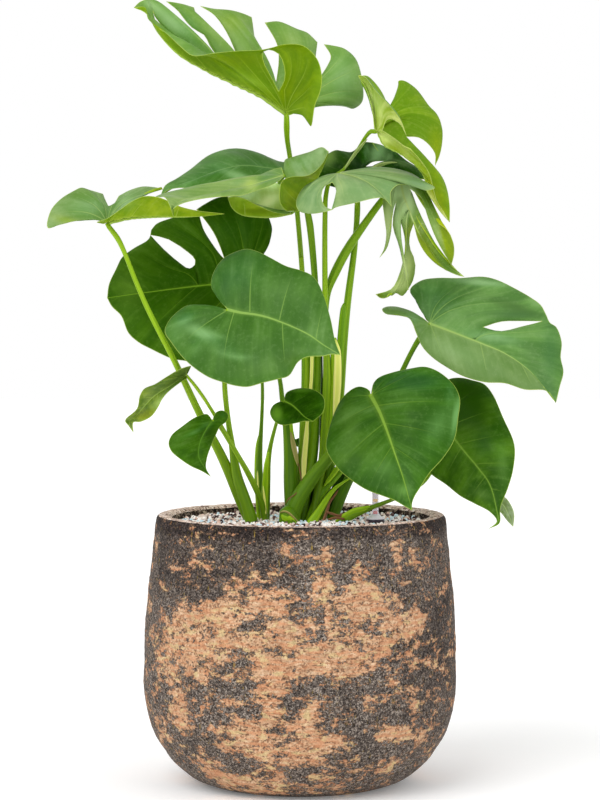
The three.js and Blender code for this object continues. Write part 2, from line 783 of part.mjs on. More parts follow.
// A lobe is ruled from its root on the midrib to its margin, bent so that its sides
// follow the cuts beside it, and arched a little towards its upper side.
function lobeColumns(part, rib, ribSteps, rows, up) {
  const columns = part.margin.length - 1;
  const fan = columns - (part.toStep - part.fromStep);
  const edge = smoothCurve(part.margin);
  const bend = (side, root, tip, v) => (side ? side(v).sub(mix(root, tip, v)) : new THREE.Vector3());
  const ends = [0, columns].map((i) => [
    rib.getPoint((i === 0 ? part.fromStep : part.toStep) / ribSteps),
    edge.getPoint(i / columns),
  ]);
  return Array.from({ length: columns + 1 }, (_, i) => {
    const u = i / columns;
    const root = rib.getPoint((part.fromStep + Math.max(0, i - fan)) / ribSteps);
    const tip = edge.getPoint(u);
    const fromSide = Math.min(1, 2 * Math.min(u, 1 - u));
    const arch = BLADE_ARCH * root.distanceTo(tip) * Math.sin((Math.PI * fromSide) / 2);
    return rows.map((v) =>
      mix(root, tip, v)
        .addScaledVector(bend(part.firstSide, ...ends[0], v), 1 - u)
        .addScaledVector(bend(part.lastSide, ...ends[1], v), u)
        .addScaledVector(up, 4 * v * (1 - v) * arch));
  });
}

// Turns columns of points into triangles of one sheet, welding equal points.
function sheetOf(columnSets) {
  const points = [];
  const index = new Map();
  const triangles = [];
  const weld = (p) => {
    const key = p.toArray().map((c) => Math.round(c * 200)).join();
    if (!index.has(key)) {
      index.set(key, points.length);
      points.push(p);
    }
    return index.get(key);
  };
  const addTriangle = (a, b, c) => {
    if (a !== b && b !== c && c !== a) triangles.push([a, b, c]);
  };
  for (const { columns, flip } of columnSets) {
    const ids = columns.map((column) => column.map(weld));
    for (let i = 1; i < ids.length; i += 1) {
      for (let j = 1; j < ids[i].length; j += 1) {
        const quad = [ids[i - 1][j - 1], ids[i][j - 1], ids[i][j], ids[i - 1][j]];
        if (flip) quad.reverse();
        addTriangle(quad[0], quad[1], quad[2]);
        addTriangle(quad[0], quad[2], quad[3]);
      }
    }
  }
  return { points, triangles };
}

function pointNormals({ points, triangles }) {
  const normals = points.map(() => new THREE.Vector3());
  for (const [a, b, c] of triangles) {
    const normal = points[b].clone().sub(points[a]).cross(points[c].clone().sub(points[a]));
    for (const id of [a, b, c]) normals[id].add(normal);
  }
  return normals.map((normal) => normal.normalize());
}

function openEdges({ triangles }) {
  const edges = new Set(triangles.flatMap(([a, b, c]) => [`${a},${b}`, `${b},${c}`, `${c},${a}`]));
  return [...edges]
    .map((edge) => edge.split(',').map(Number))
    .filter(([from, to]) => !edges.has(`${to},${from}`));
}

// Gives a sheet its thickness: the same triangles on both faces, and a wall on each open
// edge. With a growth, the open edges also move outwards.
function thicken(sheet, thickness, growth = 0) {
  const normals = pointNormals(sheet);
  const edges = openEdges(sheet);
  const outwards = sheet.points.map(() => new THREE.Vector3());
  for (const [from, to] of edges) {
    const along = sheet.points[to].clone().sub(sheet.points[from]).normalize();
    for (const id of [from, to]) outwards[id].add(along.clone().cross(normals[id]));
  }
  const count = sheet.points.length;
  const position = [1, -1].flatMap((side) =>
    sheet.points.flatMap((p, i) =>
      p.clone()
        .addScaledVector(outwards[i].normalize(), growth)
        .addScaledVector(normals[i], (side * thickness) / 2)
        .toArray()));
  const faces = sheet.triangles.flatMap(([a, b, c]) => [a, b, c, a + count, c + count, b + count]);
  for (const [from, to] of edges) {
    faces.push(from, from + count, to + count, from, to + count, to);
  }
  const geometry = new THREE.BufferGeometry();
  geometry.setAttribute('position', new THREE.Float32BufferAttribute(position, 3));
  geometry.setIndex(faces);
  return geometry;
}

function bladeSheet(leaf) {
  const lean = leaf.lean && { ...leaf.lean, x: leaf.rib[0][0], z: leaf.rib[0][1] };
  const at = (point) => place(point, lean);
  const rib = smoothCurve(leaf.rib.map(at));
  const face = new THREE.Vector3(...(leaf.face ?? [0, 0, 1]));
  const columnSets = [leaf.near, leaf.far].flatMap((parts, half) => {
    const lobes = readHalf(parts, rib, leaf.ribSteps, at);
    const up = upperSide(lobes, rib.getPoint(0), face);
    const rows = lobes.length > 1 ? CUT_ROWS : PLAIN_ROWS;
    return lobes.map((part) => ({
      columns: lobeColumns(part, rib, leaf.ribSteps, rows, up),
      flip: half === 1,
    }));
  });
  return sheetOf(columnSets);
}

// Solids are joined and cut as manifolds and turned back into geometry.
function toSolid(geometry) {
  const merged = geometry.clone();
  merged.deleteAttribute('normal');
  merged.deleteAttribute('uv');
  const welded = mergeVertices(merged, 1e-4);
  return new wasm.Manifold(new wasm.Mesh({
    numProp: 3,
    vertProperties: new Float32Array(welded.attributes.position.array),
    triVerts: new Uint32Array(welded.index.array),
  }));
}

function toGeometry(solid) {
  const { vertProperties, triVerts } = solid.getMesh();
  const geometry = new THREE.BufferGeometry();
  geometry.setAttribute('position', new THREE.Float32BufferAttribute(vertProperties, 3));
  geometry.setIndex(new THREE.Uint32BufferAttribute(triVerts, 1));
  const welded = mergeVertices(geometry, SMALLEST_EDGE);
  const triangles = [];
  for (let i = 0; i < triVerts.length; i += 3) {
    const [a, b, c] = welded.index.array.slice(i, i + 3);
    if (a !== b && b !== c && c !== a) triangles.push(a, b, c);
  }
  welded.setIndex(triangles);
  return welded;
}

function largestPiece(solid) {
  return solid.decompose().reduce((a, b) => (a.volume() > b.volume() ? a : b));
}

// A tapering round stalk along a smooth route of [x, z, y, radius] points.
function stalkGeometry(route, extra = 0) {
  const curve = smoothCurve(route.map((point) => place(point)));
  const steps = Math.ceil((route.length - 1) * STALK_STEPS);
  const frames = curve.computeFrenetFrames(steps, false);
  const position = [];
  const faces = [];
  for (let i = 0; i <= steps; i += 1) {
    const t = i / steps;
    const centre = curve.getPointAt(t);
    const along = Math.min(curve.getUtoTmapping(t) * (route.length - 1), route.length - 1.001);
    const k = Math.floor(along);
    const radius = THREE.MathUtils.lerp(route[k][3], route[k + 1][3], along - k) + extra;
    for (let j = 0; j < STALK_SIDES; j += 1) {
      const angle = (2 * Math.PI * j) / STALK_SIDES;
      const p = centre.clone()
        .addScaledVector(frames.normals[i], radius * Math.cos(angle))
        .addScaledVector(frames.binormals[i], radius * Math.sin(angle));
      position.push(...p.toArray());
      if (i < steps) {
        const [a, b] = [i * STALK_SIDES + j, i * STALK_SIDES + ((j + 1) % STALK_SIDES)];
        faces.push(a, b, b + STALK_SIDES, a, b + STALK_SIDES, a + STALK_SIDES);
      }
    }
  }
  for (let j = 1; j < STALK_SIDES - 1; j += 1) {
    const last = steps * STALK_SIDES;
    faces.push(0, j + 1, j, last, last + j, last + j + 1);
  }
  const geometry = new THREE.BufferGeometry();
  geometry.setAttribute('position', new THREE.Float32BufferAttribute(position, 3));
  geometry.setIndex(faces);
  return geometry;
}

// A stalk that stands in the fill goes on straight down below its lowest stated point.
function rooted(route) {
  const [x, z, y, radius] = route.at(-1);
  if (z > FILL_HEIGHT + FILL_REACH) return route;
  return [...route, [x, FILL_HEIGHT - STALK_DEPTH_IN_FILL, y, radius * 0.8]];
}

function shootSolid(stalks, extra = 0) {
  return Object.values(stalks)
    .map((route) => toSolid(stalkGeometry(rooted(route), extra)))
    .reduce((a, b) => a.add(b));
}

// A solid turned from [radius, z] points that start and end on the axis or at one point.
function turned(outline, sides = GAUGE_SIDES) {
  const profile = outline.map(([r, z]) => new THREE.Vector2(r, z));
  return new THREE.LatheGeometry(profile, sides).rotateX(Math.PI / 2);
}

function potGeometry() {
  const inner = POT_RIM_RADIUS - POT_WALL;
  const outline = [
    [0, 0], [POT_FOOT_RADIUS, 0], [119, 9], [136, 25], [148, 41], [158, 58], [165, 80],
    [169, 103], [POT_RADIUS, 138], [168.6, 180], [164, 230], [POT_RIM_RADIUS, 286],
    [154, POT_HEIGHT], [inner + 4, POT_HEIGHT], [inner, 289], [FILL_RADIUS_AT_TOP + 1, FILL_HEIGHT],
    [138, 258], [149, 138], [126, 45], [96, POT_FLOOR], [0, POT_FLOOR],
  ];
  return turned(outline, POT_SEGMENTS);
}

// The fill follows the inside of the planter, and grains stand out of its top.
function fillGeometry() {
  const wall = [[0, POT_FLOOR], [95, POT_FLOOR], [125, 45.5], [148, 138], [137, 258]];
  const rings = 9;
  const radii = Array.from({ length: rings + 1 }, (_, i) => FILL_RADIUS_AT_TOP * (1 - i / rings));
  const top = radii.map((r) => [r, FILL_HEIGHT]);
  const geometry = turned([...wall.map(([r, z]) => [r, z + FILL_GAP]), ...top], POT_SEGMENTS);
  const position = geometry.attributes.position;
  for (let i = 0; i < position.count; i += 1) {
    const [x, y, z] = [position.getX(i), position.getY(i), position.getZ(i)];
    const radius = Math.hypot(x, y);
    if (z > FILL_HEIGHT - 0.01 && radius > 1 && radius < FILL_RADIUS_AT_TOP - 1) {
      const grain = Math.sin(1.7 * x + 0.6 * y) * Math.cos(1.3 * y - 0.9 * x);
      position.setZ(i, z + GRAIN_RELIEF * grain);
    }
  }
  return geometry;
}

// Water level gauge: a well sunk in the fill, a float with its rod, a cap and a clear tube.
function gaugeParts() {
  const well = GAUGE_WELL_RADIUS;
  const wellTop = FILL_HEIGHT - 0.5;
  const tubeFoot = wellTop + 8;
  const bore = GAUGE_TUBE_RADIUS - 1;
  return {
    gauge_well: [0x2d2530, turned([
      [0, GAUGE_WELL_BOTTOM], [well, GAUGE_WELL_BOTTOM], [well, wellTop], [well - 1.6, wellTop],
      [well - 1.6, GAUGE_WELL_BOTTOM + 2], [0, GAUGE_WELL_BOTTOM + 2],
    ])],
    gauge_cap: [0x8b8b90, turned([
      [bore, wellTop + 0.3], [well, wellTop + 0.3], [well, wellTop + 4.6], [8.2, wellTop + 5.4],
      [4.6, wellTop + 13], [GAUGE_TUBE_RADIUS + 0.35, wellTop + 13.6],
      [GAUGE_TUBE_RADIUS + 0.35, tubeFoot], [bore, tubeFoot], [bore, wellTop + 0.3],
    ])],
    gauge_tube: [0xe8e8e6, turned([
      [bore, tubeFoot + 0.3], [GAUGE_TUBE_RADIUS, tubeFoot + 0.3],
      [GAUGE_TUBE_RADIUS, GAUGE_TUBE_TOP - 1.5], [GAUGE_TUBE_RADIUS - 1.2, GAUGE_TUBE_TOP],
      [0, GAUGE_TUBE_TOP], [0, GAUGE_TUBE_TOP - 2], [bore, GAUGE_TUBE_TOP - 2.5], [bore, tubeFoot + 0.3],
    ])],
    gauge_float: [0xc62a22, turned([
      [0, GAUGE_WELL_BOTTOM + 2.3], [6, GAUGE_WELL_BOTTOM + 2.3], [6.4, GAUGE_WELL_BOTTOM + 6],
      [6.4, GAUGE_WELL_BOTTOM + 34], [5, GAUGE_WELL_BOTTOM + 37], [1.5, GAUGE_WELL_BOTTOM + 38],
      [1.5, 295], [0, 295.6],
    ])],
  };
}

const plant = new THREE.Group();

function addMesh(parent, name, geometry, color, roughness = 0.6) {
  const mesh = new THREE.Mesh(geometry, new THREE.MeshStandardMaterial({ color, roughness, metalness: 0 }));
  mesh.name = name;
  parent.add(mesh);
}

// A stalk starts in the base of its blade and is cut back to leave the blade a hair's width.
const sheets = {};
for (const [name, leaf] of Object.entries(LEAVES)) {
  sheets[name] = bladeSheet(leaf);
  const color = leaf.rib[0][1] > HIGH_LEAVES_FROM ? GREEN_UPPER : GREEN_DEEP;
  addMesh(plant, `blade_${name}`, thicken(sheets[name], BLADE_THICKNESS), color, 0.45);
}

let fill = toSolid(fillGeometry());
for (const [shoot, stalks] of Object.entries(SHOOTS)) {
  const stem = Object.keys(stalks)
    .filter((name) => name in sheets)
    .map((name) => toSolid(thicken(sheets[name], BLADE_THICKNESS + 2 * CLEARANCE, CLEARANCE)))
    .reduce((solid, room) => largestPiece(solid.subtract(room)), shootSolid(stalks));
  addMesh(plant, `stems_${shoot}`, toGeometry(stem), GREEN_STALK);
  fill = fill.subtract(shootSolid(stalks, CLEARANCE + 0.1));
}

const gauge = new THREE.Group();
gauge.position.set(GAUGE_X, GAUGE_Y, 0);
for (const [name, [color, geometry]] of Object.entries(gaugeParts())) {
  addMesh(gauge, name, geometry, color, 0.35);
}
const gaugeHole = turned([
  [0, GAUGE_WELL_BOTTOM - 0.4], [GAUGE_WELL_RADIUS + 0.4, GAUGE_WELL_BOTTOM - 0.4],
  [GAUGE_WELL_RADIUS + 0.4, FILL_HEIGHT + 5], [0, FILL_HEIGHT + 5],
]).translate(GAUGE_X, GAUGE_Y, 0);
fill = fill.subtract(toSolid(gaugeHole));

addMesh(plant, 'pot', potGeometry(), STONEWARE, 0.95);
addMesh(plant, 'granulate', toGeometry(largestPiece(fill)), GRANULATE, 0.9);
plant.add(gauge);

export default plant;
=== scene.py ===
import math
import random

import bpy
import numpy as np
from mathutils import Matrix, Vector, kdtree, noise


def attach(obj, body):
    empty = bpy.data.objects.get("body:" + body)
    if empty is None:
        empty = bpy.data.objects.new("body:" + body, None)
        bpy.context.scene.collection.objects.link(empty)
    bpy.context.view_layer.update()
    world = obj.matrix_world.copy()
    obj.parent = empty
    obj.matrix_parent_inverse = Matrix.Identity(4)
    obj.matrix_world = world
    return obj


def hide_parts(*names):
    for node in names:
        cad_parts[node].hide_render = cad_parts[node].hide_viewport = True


# A potted swiss cheese plant: twenty blades on six shoots, in a stoneware planter that is
# topped with granulate and holds a water level gauge.
# Shapes are worked out in millimetres, as in the part's source, and made in metres.

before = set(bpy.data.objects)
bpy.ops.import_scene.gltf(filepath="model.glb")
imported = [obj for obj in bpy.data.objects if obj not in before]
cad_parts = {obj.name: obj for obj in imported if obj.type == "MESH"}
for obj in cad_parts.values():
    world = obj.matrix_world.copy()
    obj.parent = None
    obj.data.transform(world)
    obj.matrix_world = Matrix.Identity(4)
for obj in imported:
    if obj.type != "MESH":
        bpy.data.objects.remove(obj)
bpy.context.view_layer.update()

MM = 0.001

# Leaf and stalk points are (x, z, depth) as they line up for an eye in front of the plant.
# The camera is at that eye. Its aim, and how far the floor reaches, are in metres.
EYE_DISTANCE = 3000
EYE_HEIGHT = 555
CAMERA_AIM = (0, 0, 0.4163)
CAMERA_LENS = 124.5
FLOOR_REACH = 9

# A slit or a hole in a blade starts at FOOT, counted from the midrib to the margin, and a
# hole ends again at HEAD. A lobe's grid has these rows, and so many columns for each step
# between two points of its margin.
FOOT = 0.25
HEAD = 0.8
ROWS = np.array([0, 0.03, 0.07, 0.12, 0.18, FOOT, 0.31, 0.37, 0.44, 0.51, 0.58, 0.65, 0.73, HEAD,
                 0.86, 0.91, 0.95, 0.98, 1])
COLUMNS_PER_STEP = 5
CORNER_ROUNDS = 6
JOINED_PER_MM = 50

# How a blade stands off the plain sheet: its arch, its quilting between the side veins, its
# ripples, and the widths in which it comes free of the midrib, curls and thins out.
BLADE_THICKNESS = 0.7
BLADE_ARCH = 0.06
VEIN_SPACING = 34
VEIN_REACH = 14
QUILT = 0.06
QUILT_MOST = 2.6
RIPPLE = 1.6
RIPPLE_PER_MM = 0.018
FREE_FROM_RIB = 30
CURLED_MARGIN = 7
THINNED_MARGIN = 4

# The marks of points that are far from any side vein, or from the margin.
FAR_FROM_VEINS = 99.0
FAR_FROM_EDGE = 20.0

# The midrib is a tube whose middle lies below the sheet by this share of its radius.
RIB_RINGS = 46
RIB_SIDES = 10
RIB_SUNK = 0.85
RIB_SAMPLES = 400

# A stalk has a ring of points every few millimetres, swells at its knee below the blade,
# and has a channel that begins in the given stretch from the blade and is as deep as this
# share of the radius. It ends well below the fill.
STALK_RING_EVERY = 5
STALK_SIDES = 20
THICK_STALK = 2.2
KNEE_OF_THICK_STALK = 0.16
KNEE_OF_SLIM_STALK = 0.05
KNEE_BELOW_BLADE = 20
KNEE_REACH = 12
CHANNEL_DEPTH = 0.12
CHANNEL_HALF_ANGLE = 0.5
CHANNEL_BEGINS = (20, 70)
ROOT_DEPTH = 30
STRIP_SIDES = 10
STRIP_LEAST_WIDTH = 0.15

POT_RADIUS = 170
POT_FLOOR = 22
FILL_HEIGHT = 282
FILL_RADIUS = 133
GAUGE_X = 82
GAUGE_Y = 2
GAUGE_SIDES = 48

# The planter's rings have so many points, and lie so far apart outside, on the rim and inside.
POT_SIDES = 340
POT_SPACINGS = (2.0, 1.6, 5.0)

# How far round the stated patches of bare clay reach, in radians: to the first angle, and in
# full to the second.
FRONT_REACH = 1.75
FRONT_FULL = 1.25

# Each layer of grains: its number, the share of its places that are filled, its height. The
# grains keep clear of the gauge, and of a stretch in front of it (half its width, its depth).
GRAIN_LAYERS = ((0, 1.0, -0.4), (1, 0.5, 1.4), (2, 0.28, 3.2))
GRAIN_SPACING = 4.6
GRAIN_SHIFT = 0.4
GRAIN_RADII = (1.7, 2.7)
GRAIN_STRETCH = (0.75, 1.25)
GRAIN_DENTS = (0.82, 1.12)
GAP_ROUND_GAUGE_IN_BED = 10.5
GAP_ROUND_GAUGE_ON_TOP = 14
GAP_BEFORE_GAUGE = (9, 40)
BED_RINGS = 12
BED_SIDES = 60
BED_BELOW_FILL = 2.2


def lobe(from_step, to_step, margin):
    """A lobe between two steps of the midrib, with the points of its margin."""
    return dict(from_step=from_step, to_step=to_step, margin=margin)


def split(foot, before, after):
    """A slit that is open at the margin, with the points of its two sides."""
    return dict(foot=foot, head=None, before=before, after=after)


def hole(foot, head, before, after):
    """A hole from foot to head, with the points of its two sides."""
    return dict(foot=foot, head=head, before=before, after=after)


# Each blade: the steps of its midrib, the lean of its plane if it has one, the midrib, its
# near half and its far half, patches of painted light and shade (x, z, half length, half
# width, turn in degrees, how much lighter, how much warmer), and the tips of its side veins
# where these are stated. Lighter is painted sheen and highlight, darker is painted shade,
# cooler is a bluish painted sheen and warmer a yellow painted glow through the blade.
LEAVES = {
    "top": dict(
        steps=6,
        rib=[(-15, 727, 0), (-42, 745, -3), (-75, 760, -6), (-104, 774, -5), (-130, 789, -1),
            (-153, 813, 8), (-166, 834, 12), (-179, 840, 15)],
        near=[
            lobe(0, 0, [(-12, 724, -4), (0, 727, -14), (10, 719, -22), (13, 713, -26), (17, 735, -38),
                (23, 752, -48), (24, 768, -54), (19, 785, -58), (4, 799, -60), (-18, 801, -60),
                (-31, 798, -59)]),
            hole((-23, 751, -24), (-34, 795, -55), [(-17, 764, -36), (-18, 779, -46), (-24, 791, -54)],
                [(-29, 763, -34), (-38, 780, -44), (-40, 792, -54)]),
            lobe(0, 6, [(-42, 796, -58), (-67, 794, -52), (-94, 791, -45), (-116, 789, -30),
                (-129, 798, -16), (-143, 811, -4), (-155, 820, 4), (-164, 828, 8), (-167, 840, 12),
                (-179, 840, 15)]),
        ],
        far=[
            lobe(0, 0, [(-13, 726, 4), (4, 729, 16), (19, 733, 26), (35, 734, 42), (48, 733, 54),
                (58, 731, 62), (67, 738, 68), (69, 750, 72), (62, 783, 80), (49, 796, 82), (34, 800, 82),
                (26, 801, 80)]),
            split((19, 763, 44), [(30, 779, 58), (33, 789, 72)], [(18, 774, 54), (17, 783, 62)]),
            lobe(0, 0, [(19, 803, 80), (8, 813, 82), (-3, 817, 82), (-23, 825, 80), (-38, 824, 76)]),
            split((-26, 759, 24), [(-23, 783, 42), (-25, 801, 58)], [(-34, 776, 38), (-46, 798, 56)]),
            lobe(0, 1, [(-52, 830, 74), (-61, 834, 72), (-74, 838, 68), (-92, 840, 64), (-107, 843, 60)]),
            split((-66, 783, 30), [(-79, 813, 44), (-93, 833, 54)], [(-94, 807, 42), (-109, 828, 52)]),
            lobe(1, 2, [(-114, 841, 57), (-123, 844, 55), (-134, 846, 53), (-144, 847, 50)]),
            split((-90, 788, 22),
                [(-98, 800, 29), (-103, 810, 33), (-115, 817, 37), (-123, 825, 42), (-132, 837, 47)],
                [(-105, 801, 26), (-126, 823, 34), (-137, 834, 38)]),
            lobe(2, 3, [(-148, 844, 44), (-152, 847, 43), (-157, 849, 40), (-162, 849, 36)]),
            hole((-122, 802, 16), (-157, 831, 30), [(-135, 809, 20), (-145, 817, 24), (-152, 824, 28)],
                [(-136, 807, 20), (-147, 815, 24), (-154, 822, 28)]),
            lobe(3, 6, [(-166, 849, 30), (-173, 846, 24), (-179, 840, 15)]),
        ],
        painted_light_and_shade=[(-54, 762, 24, 5, -25, 0.5, -0.3), (-139, 825, 24, 9, -42, 0.5, -0.6),
            (-161, 843, 13, 5, -30, 0.5, -0.3), (-109, 799, 17, 4, -30, -0.3, -0.2),
            (-76, 824, 17, 13, 0, 0.1, 0.5), (46, 764, 17, 26, 0, 0.35, -0.5),
            (4, 748, 9, 20, 0, -0.25, 0.1), (-65, 784, 33, 7, 0, -0.1, 0.3),
            (-120, 819, 9, 15, 30, 0.1, -0.4), (-11, 803, 15, 9, -20, 0, 0.3),
            (-15, 748, 9, 15, 0, 0.15, 0.3)],
    ),
    "top_right": dict(
        steps=4,
        rib=[(83, 707, 0), (91, 692, -4), (109, 682, -8), (125, 670, -8), (134, 658, -6), (137, 643, -4),
            (145, 630, -1), (153, 619, 2), (162, 609, 4)],
        near=[
            lobe(0, 0, [(80, 710, -5), (77, 730, -12), (70, 755, -20), (63, 767, -26), (69, 767, -30),
                (83, 750, -38), (98, 734, -42), (110, 719, -42), (116, 703, -36)]),
            split((89, 708, -8), [(95, 720, -22), (108, 715, -34)], [(101, 700, -18), (112, 692, -26)]),
            lobe(0, 4, [(120, 689, -30), (132, 675, -26), (140, 662, -20), (144, 647, -13), (148, 632, -6),
                (155, 621, -1), (162, 609, 4)]),
        ],
        far=[
            lobe(0, 0, [(86, 709, 4), (78, 735, 14), (66, 759, 20), (67, 767, 24), (74, 767, 30),
                (83, 758, 36), (91, 744, 42), (94, 736, 44)]),
            split((95, 718, 22), [(95, 729, 36)], [(101, 727, 34)]),
            lobe(0, 1, [(104, 742, 44), (108, 751, 48), (106, 761, 52), (112, 762, 54), (125, 754, 56),
                (141, 733, 56), (150, 723, 54), (155, 709, 50), (155, 696, 46), (152, 682, 40),
                (147, 670, 34)]),
            split((115, 701, 16), [(128, 700, 20), (139, 693, 26), (147, 682, 34)],
                [(128, 687, 18), (139, 675, 24)]),
            lobe(1, 4, [(146, 669, 26), (153, 658, 24), (159, 645, 20), (162, 628, 12), (162, 609, 4)]),
        ],
        painted_light_and_shade=[(100, 686, 15, 9, -35, -1.1, 0.3), (78, 743, 11, 24, 25, 0.35, -0.3),
            (125, 743, 17, 15, 0, -0.15, 0), (148, 688, 10, 24, 0, 0.25, 0.6),
            (94, 717, 8, 11, 20, -0.35, 0.1), (94, 699, 9, 7, 0, 0.3, -0.3),
            (141, 645, 9, 20, 35, -0.35, 0.3), (152, 628, 7, 20, 20, 0.1, 0.4),
            (74, 760, 7, 11, 0, -0.6, -0.1)],
        veins=[(123, 717, 52), (106, 742, 45)],
    ),
    "far_left": dict(
        steps=6,
        rib=[(-209, 608, -12), (-188, 613, -18), (-156, 615, -26), (-124, 615, -33), (-102, 616, -38),
            (-82, 618, -42)],
        near=[lobe(0, 6, [(-213, 607, -16), (-220, 609, -24), (-209, 613, -34), (-196, 622, -42),
            (-182, 632, -50), (-168, 638, -54), (-150, 636, -58), (-133, 628, -58), (-116, 623, -54),
            (-98, 620, -48), (-82, 618, -42)])],
        far=[
            lobe(0, 0, [(-213, 610, -8), (-220, 612, -10), (-239, 611, -18), (-261, 606, -24),
                (-273, 603, -26), (-270, 622, -14), (-259, 635, -2), (-244, 644, 10), (-236, 647, 14),
                (-226, 644, 18), (-213, 640, 22)]),
            split((-207, 627, 4), [(-211, 635, 16)], [(-202, 629, 10)]),
            lobe(0, 6, [(-196, 638, 24), (-183, 645, 34), (-170, 649, 38), (-155, 648, 36), (-148, 646, 32),
                (-161, 642, 26), (-172, 635, 16), (-155, 626, 0), (-124, 620, -20), (-102, 618, -32),
                (-82, 618, -42)]),
        ],
        painted_light_and_shade=[(-226, 625, 26, 11, 0, 0.3, -0.6), (-205, 634, 8, 13, 0, -0.45, 0),
            (-250, 610, 20, 5, -15, 0.2, 1), (-187, 631, 11, 10, 0, 0.3, -0.4),
            (-82, 621, 20, 4, 0, -0.9, 0), (-152, 627, 24, 7, 0, 0.15, 0.2),
            (-255, 625, 11, 11, 0, -0.2, 0), (-163, 639, 15, 7, 0, -0.2, -0.2)],
    ),
    "upper_back": dict(
        steps=6,
        rib=[(-17, 665, 72), (-39, 668, 72), (-62, 670, 68), (-87, 665, 62), (-113, 655, 54),
            (-135, 647, 46), (-151, 637, 40)],
        near=[lobe(0, 6, [(-20, 659, 66), (-26, 652, 56), (-44, 647, 50), (-65, 646, 48), (-94, 644, 46),
            (-113, 645, 44), (-131, 646, 42), (-144, 643, 40), (-151, 637, 40)])],
        far=[lobe(0, 6, [(-15, 668, 78), (-13, 673, 88), (-17, 675, 96), (-26, 676, 104), (-49, 685, 112),
            (-72, 690, 114), (-96, 683, 106), (-119, 666, 86), (-133, 657, 68), (-146, 649, 52),
            (-151, 637, 40)])],
        painted_light_and_shade=[(-60, 656, 28, 5, -20, 0.9, -0.4), (-93, 666, 24, 11, 30, -0.1, -0.3),
            (-41, 669, 22, 8, -10, 0.15, -0.3), (-30, 674, 13, 4, -10, -0.3, 0.2),
            (-120, 652, 15, 5, 30, 0.2, -0.2), (-71, 683, 17, 4, 0, -0.25, 0)],
    ),
    "upper_left": dict(
        steps=7,
        rib=[(-17, 659, -8), (-41, 652, -16), (-67, 645, -22), (-96, 639, -30), (-115, 635, -42),
            (-130, 631, -60), (-136, 625, -67), (-137, 614, -67)],
        near=[lobe(0, 7, [(-21, 655, -24), (-33, 649, -36), (-48, 644, -44), (-63, 639, -50),
            (-78, 638, -54), (-99, 636, -56), (-118, 632, -63), (-130, 628, -70), (-138, 622, -73),
            (-137, 614, -67)])],
        far=[lobe(0, 7, [(-20, 668, 2), (-30, 666, 8), (-46, 660, 12), (-60, 657, 14), (-73, 655, 12),
            (-85, 646, 6), (-102, 645, 2), (-120, 643, -4), (-128, 637, -14), (-135, 641, -12),
            (-147, 640, -20), (-158, 637, -34), (-152, 637, -48), (-146, 636, -62), (-141, 627, -71),
            (-137, 614, -67)])],
        painted_light_and_shade=[(-103, 635, 30, 4, 0, 0.3, 0.1), (-53, 650, 10, 8, 0, 0.6, 0.9),
            (-35, 658, 11, 5, 20, -0.3, -0.8), (-74, 641, 11, 3, 0, -0.3, 0),
            (-65, 653, 9, 4, 15, -0.1, -0.6)],
    ),
    "upper_low": dict(
        steps=4,
        rib=[(-9, 619, 2), (-28, 615, -2), (-48, 615, -8), (-63, 617, -12), (-73, 624, -16),
            (-78, 635, -18)],
        near=[lobe(0, 4, [(-11, 618, -4), (-17, 618, -12), (-29, 621, -22), (-46, 629, -28),
            (-59, 635, -28), (-70, 637, -24), (-78, 635, -18)])],
        far=[lobe(0, 4, [(-8, 623, 8), (-10, 635, 22), (-15, 646, 32), (-24, 652, 36), (-37, 649, 30),
            (-52, 644, 14), (-67, 640, -4), (-78, 636, -18)])],
        painted_light_and_shade=[(-35, 631, 15, 7, 30, 0.7, 0.3), (-60, 638, 15, 5, 0, 0.5, -0.5),
            (-48, 621, 22, 3, 0, -1, 0.2)],
    ),
    "upper_middle": dict(
        steps=5,
        rib=[(-3, 621, 4), (4, 632, 12), (13, 646, 18), (21, 661, 22), (27, 674, 20), (31, 685, 14)],
        near=[lobe(0, 5, [(-7, 620, -18), (-16, 620, -30), (-23, 630, -36), (-23, 644, -36),
            (-20, 654, -33), (-9, 659, -24), (9, 661, -10), (24, 673, 4), (31, 685, 14)])],
        far=[lobe(0, 5, [(-1, 623, 12), (-7, 638, 30), (-16, 657, 40), (-17, 676, 44), (-7, 680, 44),
            (10, 685, 40), (23, 690, 30), (31, 685, 14)])],
        painted_light_and_shade=[(2, 674, 16, 9, 20, 0.2, -0.6), (-11, 634, 8, 11, 0, -0.15, 0.3),
            (11, 658, 17, 3, 0, 0.4, 0.3), (22, 686, 9, 4, 20, 0.3, -0.2)],
    ),
    "upper_front": dict(
        steps=3,
        rib=[(41, 662, 14), (61, 657, 2), (74, 651, -12), (87, 640, -26), (99, 626, -38)],
        near=[
            lobe(0, 0, [(37, 661, 16), (22, 657, 10), (7, 651, -2), (-2, 640, -16), (-5, 629, -26),
                (-1, 621, -32), (11, 618, -38), (25, 620, -42), (35, 623, -43)]),
            hole((34, 653, -4), (34, 623, -42), [(26, 649, -18), (23, 637, -30), (27, 626, -38)],
                [(38, 644, -18), (37, 634, -32)]),
            lobe(0, 3, [(39, 625, -44), (61, 630, -46), (81, 635, -44), (90, 635, -42), (99, 626, -38)]),
        ],
        far=[lobe(0, 3, [(46, 664, 18), (59, 661, 22), (81, 662, 20), (95, 665, 18), (109, 666, 14),
            (121, 662, 4), (134, 654, -12), (146, 646, -26), (136, 643, -26), (119, 649, -16),
            (107, 650, -16), (99, 643, -22), (98, 635, -30), (99, 626, -38)])],
        painted_light_and_shade=[(13, 638, 11, 15, -20, -0.2, -0.6), (54, 647, 26, 11, 0, 0.1, -0.3),
            (107, 660, 20, 7, -10, 0, 0.4), (126, 652, 15, 5, -20, -0.7, -0.9),
            (78, 638, 15, 9, -20, 0.2, -0.2), (44, 651, 5, 15, 0, 0.1, 0.2),
            (96, 645, 11, 9, -30, 0.1, -0.4)],
    ),
    "upper_right_back": dict(
        steps=3,
